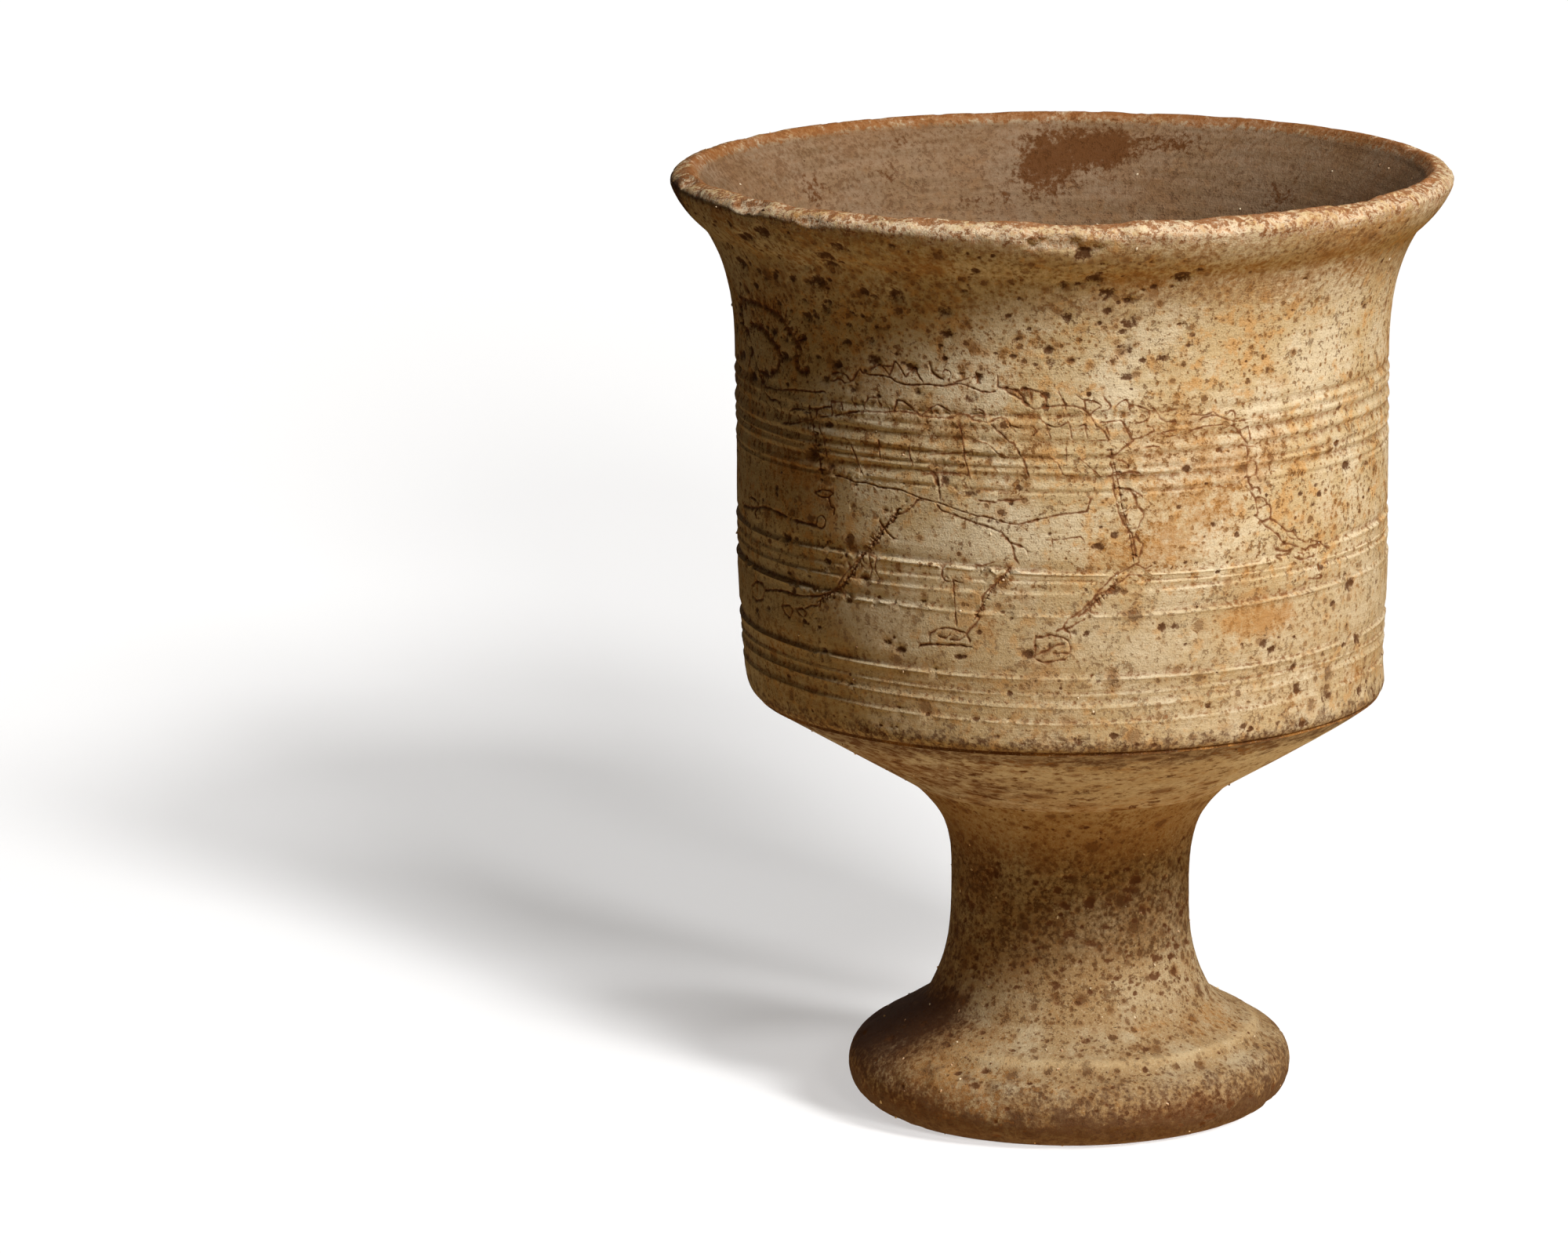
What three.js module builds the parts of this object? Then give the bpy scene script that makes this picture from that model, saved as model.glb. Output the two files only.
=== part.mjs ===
// A terracotta chalice: a straight-sided bowl with a flared lip, set on a hollow
// stem with a spreading foot. The potter made it from separate pieces of clay and
// joined them, leather hard, with wet slip: foot, stem, bowl bottom, a collar of
// clay pressed round the stem's top, and the turned wall of the bowl.
//
// Millimetres, +Z up. The vessel stands on z = 0 and its axis is the Z axis.

import * as THREE from "three";

// Height of the whole vessel, and of the pieces under the wall, from the table up.
// A layer of slip lies in each joint, and the wall takes the height that is left.
const vesselHeight = 210;
const footHeight = 23.6;
const stemHeight = 42.3;
const baseHeight = 26.1;
const slipThickness = 0.8;

// Foot: a rounded edge, a sloping top and a hollow underside.
const footRadius = 49.4;
const footEdgeHeight = 16.4;
const footSeatWidth = 3.8;

// Stem: a hollow tube, narrowest at its waist, with a neck that the collar clasps.
const stemWaistRadius = 26.4;
const stemWaistHeight = 25.6;
const stemFootFlare = 5.2;
const stemShoulderFlare = 1.7;
const stemFootWall = 10.1;
const stemNeckWall = 9.3;
const stemNeckHeight = 3.3;

// Collar of clay round the joint of stem and bowl.
const collarWall = 3.5;
const collarSpread = 7.5;
const collarClearance = 0.3;

// Bowl bottom: a wide cone, with a boss under it that sits on the stem.
const bossHeight = 5.8;
const seamRadius = 69;
const seamWidth = 13;
const floorThickness = 13;

// Bowl wall, from the seam to the lip.
const wallRadius = 71.5;
const wallThickness = 5.4;
const wallFootStep = 0.4;
const shoulderHeight = 2.4;
const shoulderInset = 1.1;
const bellyHeight = 27.6;
const flareHeight = 40.3;
const lipRadius = 85.4;
const lipThickness = 7.4;
const filletHeight = 11.6;

// Bands of turned grooves round the wall. Each band starts at its first groove, at
// a share of the wall's height.
const grooveDepth = 0.5;
const lowerBandShare = 0.058;
const lowerGroovePitch = 3.05;
const lowerGrooves = 5;
const middleBandShare = 0.279;
const middleGroovePitch = 2.45;
const middleGrooves = 5;
const upperBandShare = 0.489;
const upperGroovePitch = 2.85;
const upperGrooves = 7;

// How finely the round forms are drawn.
const wideSides = 56;
const narrowSides = 48;
const curveSteps = 6;

// Control points of the curves, as shares of the box that each curve spans.
const footSlopeShares = [0.42, 0.36];
const footHollowShares = [0.35, 0.5];
const collarShares = [0.16, 0.4];
const coneShares = [[0.19, 0.19], [0.7, 0.67]];
const floorShares = [0.45, 0];
const roundingShares = [0.85, 0.15];
const footEdgeTurnShare = 0.34;

const clay = new THREE.MeshStandardMaterial({ color: 0xc9b183, roughness: 0.86, metalness: 0 });
const wornClay = new THREE.MeshStandardMaterial({ color: 0x9c7b55, roughness: 0.9, metalness: 0 });
const slip = new THREE.MeshStandardMaterial({ color: 0x6e4a2c, roughness: 0.9, metalness: 0 });

// Radii that follow from the stem's waist outwards and inwards.
const stemFootRadius = stemWaistRadius + stemFootFlare;
const stemBoreFootRadius = stemFootRadius - stemFootWall;
const stemShoulderRadius = stemWaistRadius + stemShoulderFlare;
const collarTopRadius = stemShoulderRadius + collarSpread;
const collarBoreRadius = stemShoulderRadius - collarWall;
const stemNeckRadius = collarBoreRadius - collarClearance;
const stemBoreTopRadius = stemNeckRadius - stemNeckWall;

// Heights of the joints.
const stemBottom = footHeight + slipThickness;
const stemTop = stemBottom + stemHeight;
const baseBottom = stemTop + slipThickness;
const baseTop = baseBottom + baseHeight;
const wallBottom = baseTop + slipThickness;
const wallHeight = vesselHeight - wallBottom;
const shoulder = stemTop - stemNeckHeight;
const coneBottom = baseBottom + bossHeight;

const at = (radius, height) => new THREE.Vector2(radius, height);

// Points from start to end, with the curve's control point given as shares of the
// way across and the way up. The start point is left out, so that runs can follow on.
function curveTo(start, end, [acrossShare, upShare]) {
  const control = at(
    THREE.MathUtils.lerp(start.x, end.x, acrossShare),
    THREE.MathUtils.lerp(start.y, end.y, upShare),
  );
  return new THREE.QuadraticBezierCurve(start, control, end).getPoints(curveSteps).slice(1);
}

// A radius that stays near the first value and then swells to the second as a cube.
function flare(fromRadius, toRadius, share) {
  return fromRadius + (toRadius - fromRadius) * share ** 3;
}

// Points of a flare, from startHeight to endHeight, where the share runs from
// startShare to endShare. The first point is left out.
function flareRun(fromRadius, toRadius, startHeight, endHeight, startShare, endShare) {
  const points = [];
  for (let step = 1; step <= curveSteps; step++) {
    const along = step / curveSteps;
    const share = THREE.MathUtils.lerp(startShare, endShare, along);
    const height = THREE.MathUtils.lerp(startHeight, endHeight, along);
    points.push(at(flare(fromRadius, toRadius, share), height));
  }
  return points;
}

// Points of an arc round a centre, both ends included.
function arc(centre, radiusAcross, radiusUp, startAngle, endAngle, steps) {
  const points = [];
  for (let step = 0; step <= steps; step++) {
    const angle = THREE.MathUtils.lerp(startAngle, endAngle, step / steps);
    points.push(at(centre.x + radiusAcross * Math.cos(angle), centre.y + radiusUp * Math.sin(angle)));
  }
  return points;
}

// Turns an outline round the Z axis. Outlines run up the outside and down the
// inside, and either end on the axis or close on themselves.
function turned(name, outline, sides, material) {
  const endsOnAxis = outline[0].x === 0;
  const points = endsOnAxis ? outline : [...outline, outline[0].clone()];
  const geometry = new THREE.LatheGeometry(points, sides);
  geometry.rotateX(Math.PI / 2);
  const mesh = new THREE.Mesh(geometry, material);
  mesh.name = name;
  return mesh;
}

// A flat ring of slip that fills a joint.
function slipRing(name, height, innerRadius, outerRadius, sides) {
  const outline = [
    at(innerRadius, height),
    at(outerRadius, height),
    at(outerRadius, height + slipThickness),
    at(innerRadius, height + slipThickness),
  ];
  return turned(name, outline, sides, slip);
}

function foot() {
  const edgeRadius = footEdgeHeight / 2;
  const edgeCentre = at(footRadius - edgeRadius, edgeRadius);
  const edge = arc(
    edgeCentre, edgeRadius, edgeRadius, -Math.PI / 2, Math.PI * footEdgeTurnShare, curveSteps + 4,
  );
  const slopeTop = at(stemFootRadius, footHeight);
  const boreTop = at(stemBoreFootRadius, footHeight);
  const seatInside = at(edgeCentre.x - footSeatWidth, 0);
  const outline = [
    ...edge,
    ...curveTo(edge.at(-1), slopeTop, footSlopeShares),
    boreTop,
    ...curveTo(boreTop, seatInside, footHollowShares),
  ];
  return turned("foot", outline, wideSides, wornClay);
}

function stem() {
  const waist = stemBottom + stemWaistHeight;
  const outline = [
    at(stemFootRadius, stemBottom),
    ...flareRun(stemWaistRadius, stemFootRadius, stemBottom, waist, 1, 0),
    ...flareRun(stemWaistRadius, stemShoulderRadius, waist, shoulder, 0, 1),
    at(stemNeckRadius, shoulder),
    at(stemNeckRadius, stemTop),
    at(stemBoreTopRadius, stemTop),
    ...flareRun(stemBoreTopRadius, stemBoreFootRadius, stemTop, stemBottom, 0, 1),
  ];
  return turned("stem", outline, narrowSides, clay);
}

function collar() {
  const bottom = at(stemShoulderRadius, shoulder);
  const top = at(collarTopRadius, coneBottom);
  const outline = [
    bottom,
    ...curveTo(bottom, top, collarShares),
    at(collarBoreRadius, coneBottom),
    at(collarBoreRadius, shoulder),
  ];
  return turned("stem_collar", outline, narrowSides, clay);
}

function bowlBase() {
  const coneStart = at(collarTopRadius, coneBottom);
  const coneEnd = at(seamRadius, baseTop);
  const control = coneShares.map(([acrossShare, upShare]) => at(
    THREE.MathUtils.lerp(coneStart.x, coneEnd.x, acrossShare),
    THREE.MathUtils.lerp(coneStart.y, coneEnd.y, upShare),
  ));
  const cone = new THREE.CubicBezierCurve(coneStart, control[0], control[1], coneEnd);
  const seamInside = at(seamRadius - seamWidth, baseTop);
  const floorCentre = at(0, baseBottom + floorThickness);
  const floor = curveTo(floorCentre, seamInside, floorShares).reverse();
  const outline = [
    at(0, baseBottom),
    at(stemNeckRadius, baseBottom),
    at(stemNeckRadius, coneBottom),
    ...cone.getPoints(curveSteps),
    ...floor,
    floorCentre,
  ];
  return turned("bowl_base", outline, wideSides, clay);
}

// Radius of the plain outside of the wall, at a height above its foot.
function wallOutside(height) {
  const flareStart = lipCentreHeight() - flareHeight;
  if (height <= bellyHeight) {
    const share = (height - shoulderHeight) / (bellyHeight - shoulderHeight);
    return THREE.MathUtils.lerp(wallRadius - shoulderInset, wallRadius, share);
  }
  if (height <= flareStart) {
    return wallRadius;
  }
  return flare(wallRadius, lipRadius, (height - flareStart) / flareHeight);
}

// Height of the middle of the rounded lip above the wall's foot.
function lipCentreHeight() {
  return wallHeight - lipThickness / 2;
}

// Outline of the plain wall from just above one height up to another.
function wallRun(fromHeight, toHeight) {
  const points = [];
  for (let step = 1; step <= curveSteps; step++) {
    const height = THREE.MathUtils.lerp(fromHeight, toHeight, step / curveSteps);
    points.push(at(wallOutside(height), wallBottom + height));
  }
  return points;
}

// Outline of one band of grooves: each groove is a V, with a ridge on both sides.
function grooveBand(bandShare, pitch, grooves) {
  const points = [];
  const firstRidge = wallHeight * bandShare - pitch / 2;
  for (let step = 0; step <= grooves * 2; step++) {
    const height = firstRidge + step * pitch / 2;
    const depth = step % 2 === 1 ? grooveDepth : 0;
    points.push(at(wallOutside(height) - depth, wallBottom + height));
  }
  return points;
}

function bowlWall() {
  const lipCentre = at(lipRadius - lipThickness / 2, wallBottom + lipCentreHeight());
  const flareStart = lipCentre.y - flareHeight;
  const innerRadius = wallRadius - wallThickness;
  const footOutside = at(seamRadius + wallFootStep, wallBottom);
  const shoulderPoint = at(wallRadius - shoulderInset, wallBottom + shoulderHeight);
  const footInside = at(seamRadius - seamWidth, wallBottom);
  const filletTop = at(innerRadius, wallBottom + filletHeight);
  const lipInnerRadius = lipRadius - lipThickness;
  const upperBand = grooveBand(upperBandShare, upperGroovePitch, upperGrooves);
  const outline = [
    footOutside,
    ...curveTo(footOutside, shoulderPoint, roundingShares),
    ...grooveBand(lowerBandShare, lowerGroovePitch, lowerGrooves),
    ...grooveBand(middleBandShare, middleGroovePitch, middleGrooves),
    ...upperBand,
    ...wallRun(upperBand.at(-1).y - wallBottom, lipCentreHeight()),
    ...arc(lipCentre, lipThickness / 2, lipThickness / 2, 0, Math.PI, curveSteps + 2).slice(1),
    ...flareRun(innerRadius, lipInnerRadius, lipCentre.y, flareStart, 1, 0),
    filletTop,
    ...curveTo(filletTop, footInside, roundingShares.toReversed()),
  ];
  return turned("bowl_wall", outline, wideSides, clay);
}

const chalice = new THREE.Group();
chalice.name = "chalice";
chalice.add(
  foot(),
  slipRing("foot_slip", footHeight, stemBoreFootRadius, stemFootRadius, narrowSides),
  stem(),
  slipRing("stem_slip", stemTop, stemBoreTopRadius, stemNeckRadius, narrowSides),
  collar(),
  bowlBase(),
  slipRing("seam_slip", baseTop, seamRadius - seamWidth, seamRadius, wideSides),
  bowlWall(),
);

export default chalice;
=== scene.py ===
import math
import random

import bpy
import numpy as np
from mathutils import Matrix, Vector, noise
from mathutils.geometry import delaunay_2d_cdt


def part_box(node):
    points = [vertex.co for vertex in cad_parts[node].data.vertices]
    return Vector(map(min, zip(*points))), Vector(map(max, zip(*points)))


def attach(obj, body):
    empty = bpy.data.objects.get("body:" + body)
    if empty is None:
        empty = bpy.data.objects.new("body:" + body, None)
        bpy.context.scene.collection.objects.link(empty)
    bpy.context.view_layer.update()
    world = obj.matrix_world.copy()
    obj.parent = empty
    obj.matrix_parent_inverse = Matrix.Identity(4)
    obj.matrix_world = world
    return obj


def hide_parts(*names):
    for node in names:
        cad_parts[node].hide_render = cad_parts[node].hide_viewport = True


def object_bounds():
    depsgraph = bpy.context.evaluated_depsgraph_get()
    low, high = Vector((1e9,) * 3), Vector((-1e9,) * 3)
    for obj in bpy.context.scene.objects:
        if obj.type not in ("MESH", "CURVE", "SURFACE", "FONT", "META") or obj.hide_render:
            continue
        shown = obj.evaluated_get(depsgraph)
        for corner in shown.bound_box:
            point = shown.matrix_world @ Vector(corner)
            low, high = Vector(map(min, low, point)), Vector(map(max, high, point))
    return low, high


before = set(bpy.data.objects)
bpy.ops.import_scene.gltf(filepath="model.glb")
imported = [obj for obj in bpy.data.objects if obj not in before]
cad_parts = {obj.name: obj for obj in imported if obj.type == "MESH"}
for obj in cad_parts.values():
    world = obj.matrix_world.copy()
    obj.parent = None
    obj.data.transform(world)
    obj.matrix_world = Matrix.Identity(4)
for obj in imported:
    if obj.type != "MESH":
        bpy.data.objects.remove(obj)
cad_low, cad_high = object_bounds()
scene = bpy.context.scene

# The studio: a white floor, a soft key lamp high on the right, a weak warm sky and the
# camera, which stands where the photograph was taken from. The floor's shadow is laid
# by suns of its own, lower than the key lamp, which only the vessel is lit by.
MM = 0.001
FLOOR_SIZE = 12.0
FLOOR_SEEN = (0.815, 0.815, 0.815, 1)
FLOOR_BOUNCE = (0.91, 0.64, 0.31, 1)
BOUNCE_MIDDLE = (-0.12, 0.07, 0)
BOUNCE_REACH = (0.10, 0.42)
KEY_LAMP_PLACE = (0.625, -0.705, 1.08)
KEY_LAMP_WIDTH = 0.35
KEY_LAMP_POWER = 25.7
KEY_LAMP_AIM = (0, 0, 0.12)
FLOOR_SUNS = (
    ("vessel", 20, 26, 9, 0.385), ("bowl", 12, 14, 9, 1.80), ("bowl", 32, 32, 9, 1.56),
    ("bowl", 24, 26, 9, 1.36), ("bowl", 44, 17, 9, 0.31), ("pedestal", 54, 36, 13, 1.12),
    ("pedestal", 54, 28, 9, 1.19), ("pedestal", 42, 11, 9, 2.94),
)
SKY_COLOUR = (1.0, 0.52, 0.14, 1)
SKY_STRENGTH = 0.030
SKY_GLEAM = 0.35
CAMERA_TILT = math.radians(12.166)
CAMERA_PLACE = (0, -1.53474, 0.43770)
CAMERA_LENS = 163.23
CAMERA_SHIFT = -0.17975


def put(tree, kind, inputs=None, **settings):
    """Adds a node, with its settings, and values or sockets for its inputs."""
    node = tree.nodes.new(kind)
    for name, value in settings.items():
        setattr(node, name, value)
    for name, value in (inputs or {}).items():
        if isinstance(value, bpy.types.NodeSocket):
            tree.links.new(value, node.inputs[name])
        else:
            node.inputs[name].default_value = value
    return node


def blank_material(name):
    """A material with an empty tree and its output node."""
    material = bpy.data.materials.new(name)
    material.use_nodes = True
    material.node_tree.nodes.clear()
    return material, material.node_tree, put(material.node_tree, "ShaderNodeOutputMaterial")


floor_data = bpy.data.meshes.new("floor")
reach = FLOOR_SIZE / 2
floor_data.from_pydata(
    [(-reach, -reach, 0), (reach, -reach, 0), (reach, reach, 0), (-reach, reach, 0)], [], [(0, 1, 2, 3)]
)
floor = bpy.data.objects.new("floor", floor_data)
scene.collection.objects.link(floor)
material, tree, out = blank_material("white_floor")
seen = put(tree, "ShaderNodeLightPath").outputs["Is Camera Ray"]
place = put(tree, "ShaderNodeTexCoord").outputs["Object"]
# For rays other than the camera's, the floor's colour is a warm pool round a point to the front right of the
# vessel, fading to black between 0.1 and 0.42 m from it: painted bounce light.
away = put(tree, "ShaderNodeVectorMath", {0: place, 1: BOUNCE_MIDDLE}, operation="ADD").outputs[0]
away = put(tree, "ShaderNodeVectorMath", {0: away}, operation="LENGTH").outputs["Value"]
fading = {"Value": away, "From Min": BOUNCE_REACH[0], "From Max": BOUNCE_REACH[1]}
dimmed = put(tree, "ShaderNodeMapRange", fading).outputs[0]
blending = {0: dimmed, 6: FLOOR_BOUNCE, 7: (0, 0, 0, 1)}
bounced = put(tree, "ShaderNodeMix", blending, data_type="RGBA").outputs[2]
paint = put(tree, "ShaderNodeMix", {0: seen, 6: bounced, 7: FLOOR_SEEN}, data_type="RGBA").outputs[2]
matt = put(tree, "ShaderNodeBsdfDiffuse", {"Color": paint})
tree.links.new(matt.outputs[0], out.inputs["Surface"])
floor_data.materials.append(material)

world = bpy.data.worlds.new("studio_sky")
world.use_nodes = True
world.node_tree.nodes.clear()
tree = world.node_tree
sky = put(tree, "ShaderNodeBackground", {"Color": SKY_COLOUR, "Strength": SKY_STRENGTH})
gleam = put(tree, "ShaderNodeBackground", {"Color": (1, 1, 1, 1), "Strength": SKY_GLEAM})
white = put(tree, "ShaderNodeBackground", {"Color": (1, 1, 1, 1), "Strength": 1.0})
ray = put(tree, "ShaderNodeLightPath").outputs
mixed = put(tree, "ShaderNodeMixShader", {0: ray["Is Glossy Ray"], 1: sky.outputs[0], 2: gleam.outputs[0]})
mixed = put(tree, "ShaderNodeMixShader", {0: ray["Is Camera Ray"], 1: mixed.outputs[0], 2: white.outputs[0]})
put(tree, "ShaderNodeOutputWorld", {"Surface": mixed.outputs[0]})
scene.world = world

vessel_lit = bpy.data.collections.new("vessel_lit")
floor_lit = bpy.data.collections.new("floor_lit")
floor_lit.objects.link(floor)
pedestal = bpy.data.collections.new("pedestal")
bowl = bpy.data.collections.new("bowl")
shaded_by = {"vessel": vessel_lit, "bowl": bowl, "pedestal": pedestal}


def hang_sun(number, shading, azimuth, height, softness, strength):
    """A soft sun for the floor alone, told by degrees round to the right, up and
    across, which only the named part of the vessel shades."""
    data = bpy.data.lights.new(f"floor_sun_{number}", "SUN")
    data.energy = strength
    data.angle = math.radians(softness)
    sun = bpy.data.objects.new(data.name, data)
    sun.rotation_euler = (math.radians(90 - height), 0, math.radians(azimuth))
    scene.collection.objects.link(sun)
    sun.light_linking.receiver_collection = floor_lit
    sun.light_linking.blocker_collection = shaded_by[shading]


for number, sun in enumerate(FLOOR_SUNS, 1):
    hang_sun(number, *sun)
key_data = bpy.data.lights.new("key_lamp", "AREA")
key_data.shape = "DISK"
key_data.size = KEY_LAMP_WIDTH
key_data.energy = KEY_LAMP_POWER
key_lamp = bpy.data.objects.new("key_lamp", key_data)
key_lamp.location = KEY_LAMP_PLACE
key_lamp.rotation_euler = (Vector(KEY_LAMP_PLACE) - Vector(KEY_LAMP_AIM)).to_track_quat("Z", "Y").to_euler()
scene.collection.objects.link(key_lamp)
key_lamp.light_linking.receiver_collection = vessel_lit

camera_data = bpy.data.cameras.new("camera")
camera_data.lens = CAMERA_LENS
camera_data.shift_x = CAMERA_SHIFT
camera = bpy.data.objects.new("camera", camera_data)
camera.location = CAMERA_PLACE
camera.rotation_euler = (math.pi / 2 - CAMERA_TILT, 0, 0)
scene.collection.objects.link(camera)
scene.camera = camera
scene.view_settings.view_transform = "Standard"


# The foot is a thick ring of clay, thrown on the wheel: a rounded edge that the
# vessel stands on, a sloping top and a hollow underside. Its edge is worn and dirty,
# and its left side is darkened with painted shade.
foot_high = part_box("foot")[1]
FOOT_EDGE_HEIGHT = 16.4 * MM
FOOT_SEAT_WIDTH = 3.8 * MM
FOOT_EDGE_TURN_SHARE = 0.34
FOOT_SLOPE_SHARES = (0.42, 0.36)
FOOT_HOLLOW_SHARES = (0.35, 0.5)
STEM_FOOT_WALL = 10.1 * MM
VESSEL_HEIGHT = cad_high.z
CURVE_STEPS = 24
SHARP_TURN = math.radians(30)
LEAST_GAP = 0.14 * MM
CLEAR_GAP = 0.42 * MM
MERGE_GAP = 0.008 * MM
CORNER_GAP = 1.2 * MM


def between(start, end, share):
    """The value at a share of the way from start to end."""
    return start + (end - start) * share


def bend(start, end, shares):
    """Points of a curve after its start, with its control point as shares of its box."""
    control = (between(start[0], end[0], shares[0]), between(start[1], end[1], shares[1]))
    points = []
    for step in range(1, CURVE_STEPS + 1):
        t = step / CURVE_STEPS
        points.append(tuple(
            (1 - t) ** 2 * start[k] + 2 * t * (1 - t) * control[k] + t * t * end[k] for k in (0, 1)
        ))
    return points


def swell(near_radius, far_radius, start_height, end_height, start_share, end_share):
    """Points of a flare after its start: the radius leaves the first value as a cube."""
    points = []
    for step in range(1, CURVE_STEPS + 1):
        t = step / CURVE_STEPS
        share = between(start_share, end_share, t)
        points.append((between(near_radius, far_radius, share ** 3), between(start_height, end_height, t)))
    return points


def rounding(centre, radius, start_angle, end_angle):
    """Points of an arc, both ends included."""
    angles = [between(start_angle, end_angle, step / CURVE_STEPS) for step in range(CURVE_STEPS + 1)]
    return [(centre[0] + radius * math.cos(a), centre[1] + radius * math.sin(a)) for a in angles]


class Outline:
    """An outline in radius and height, measured along its run from start to end."""

    def __init__(self, points):
        self.points = np.array(points)
        steps = np.linalg.norm(np.diff(self.points, axis=0), axis=1)
        self.runs = np.concatenate(([0], np.cumsum(steps)))
        self.length = self.runs[-1]

    def at(self, run):
        """Radius and height at a run, or at many."""
        return np.interp(run, self.runs, self.points[:, 0]), np.interp(run, self.runs, self.points[:, 1])

    def corners(self):
        """Runs where the outline turns sharply, its two ends among them."""
        steps = np.diff(self.points, axis=0)
        ways = np.unwrap(np.arctan2(steps[:, 1], steps[:, 0]))
        sharp = np.nonzero(np.abs(np.diff(ways)) > SHARP_TURN)[0] + 1
        return [0.0, *self.runs[sharp], self.length]

    def rows(self, gap):
        """Runs from end to end, no further apart than the gap, with every corner among them."""
        corners = self.corners()
        rows = []
        for start, end in zip(corners, corners[1:]):
            count = max(1, math.ceil((end - start) / gap))
            rows.extend(between(start, end, step / count) for step in range(count))
        return [*rows, self.length]


def flat_sheet(outline, rows, spacing, marks=(), crisp=()):
    """Cuts the unrolled clay into triangles: rows of points, and the points of marks
    first, so that pits and cuts have their own corners. Rows on the outline's corners
    are evenly parted, so that pieces meet point to point, and crisp rows stand in
    columns, so that a groove keeps its edges. Returns turns, runs, faces."""
    width = 2 * math.pi * outline.points[:, 0].max()
    corners = outline.corners()
    taken = {}
    kept = []

    def crowded(x, y, gap):
        column, row = math.floor(x / CLEAR_GAP), math.floor(y / CLEAR_GAP)
        for i in (column - 1, column, column + 1):
            for j in (row - 1, row, row + 1):
                for u, v in taken.get((i, j), ()):
                    if (u - x) ** 2 + (v - y) ** 2 < gap * gap:
                        return True
        return False

    def keep(x, y):
        taken.setdefault((math.floor(x / CLEAR_GAP), math.floor(y / CLEAR_GAP)), []).append((x, y))
        kept.append(Vector((x, y)))

    filling, standing = [], []
    for number, run in enumerate(rows):
        gap = spacing(run) if callable(spacing) else spacing
        whole = min(abs(run - corner) for corner in corners) < MERGE_GAP
        count = max(12, round(2 * math.pi * outline.at(run)[0] / (CORNER_GAP if whole else gap)))
        shift = 0 if whole or number % 2 or run in crisp else 0.5
        keep(-width / 2, run)
        keep(width / 2, run)
        for step in range(1 if shift == 0 else 0, count):
            x = ((step + shift) / count - 0.5) * width
            if whole:
                keep(x, run)
            else:
                (standing if run in crisp else filling).append((x, run))
    for turn, run in marks:
        if LEAST_GAP < run < outline.length - LEAST_GAP and abs(turn) < 0.5:
            if not crowded(turn * width, run, LEAST_GAP):
                keep(turn * width, run)
    for x, run in [place for place in standing if not crowded(*place, LEAST_GAP)]:
        keep(x, run)
    for x, run in filling:
        if not crowded(x, run, CLEAR_GAP):
            keep(x, run)
    corners, _, faces, *_ = delaunay_2d_cdt(kept, [], [], 0, 1e-9)
    flat = np.array([tuple(c) for c in corners])
    return flat[:, 0] / width, flat[:, 1], faces


def new_group(name, kind, inputs, outputs):
    """A node group with named sockets, as name, kind and default. Returns it and its inputs."""
    group = bpy.data.node_groups.new(name, kind)
    for socket, sort, *default in inputs:
        made = group.interface.new_socket(socket, in_out="INPUT", socket_type="NodeSocket" + sort)
        if default:
            made.default_value = default[0]
    for socket, sort in outputs:
        group.interface.new_socket(socket, in_out="OUTPUT", socket_type="NodeSocket" + sort)
    return group, put(group, "NodeGroupInput").outputs


def sums(tree):
    """Short calls for a tree's arithmetic, masks, colour mixing and noise."""

    def calc(operation, *values):
        return put(tree, "ShaderNodeMath", dict(enumerate(values)), operation=operation).outputs[0]

    def times(one, other):
        return calc("MULTIPLY", one, other)

    def plus(one, other):
        return calc("ADD", one, other)

    def minus(one, other):
        return calc("SUBTRACT", one, other)

    def mask(value, low, high):
        inputs = {"Value": value, "From Min": low, "From Max": high}
        return put(tree, "ShaderNodeMapRange", inputs, interpolation_type="SMOOTHSTEP").outputs[0]

    def over(share, under, upper, strength=1):
        if strength != 1:
            share = times(share, strength)
        return put(tree, "ShaderNodeMix", {0: share, 6: under, 7: upper}, data_type="RGBA").outputs[2]

    def cloud(vector, size, detail=4.0, rough=0.55, shift=None):
        if shift:
            vector = put(tree, "ShaderNodeVectorMath", {0: vector, 1: shift}, operation="ADD").outputs[0]
        inputs = {"Vector": vector, "Scale": 1 / size, "Detail": detail, "Roughness": rough}
        return put(tree, "ShaderNodeTexNoise", inputs).outputs[0]

    return times, plus, minus, calc, mask, over, cloud


AXIS_REACH = 6 * MM
LEAN_CURVE = ((0.23, 0.70), (0.36, 0.80), (0.42, 0.76), (0.49, 0.38), (0.7, 0.34))
LEAN_AT_FLOOR = (0, 0.65)
LEAN_AT_LIP = (1, 0.34)


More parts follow.
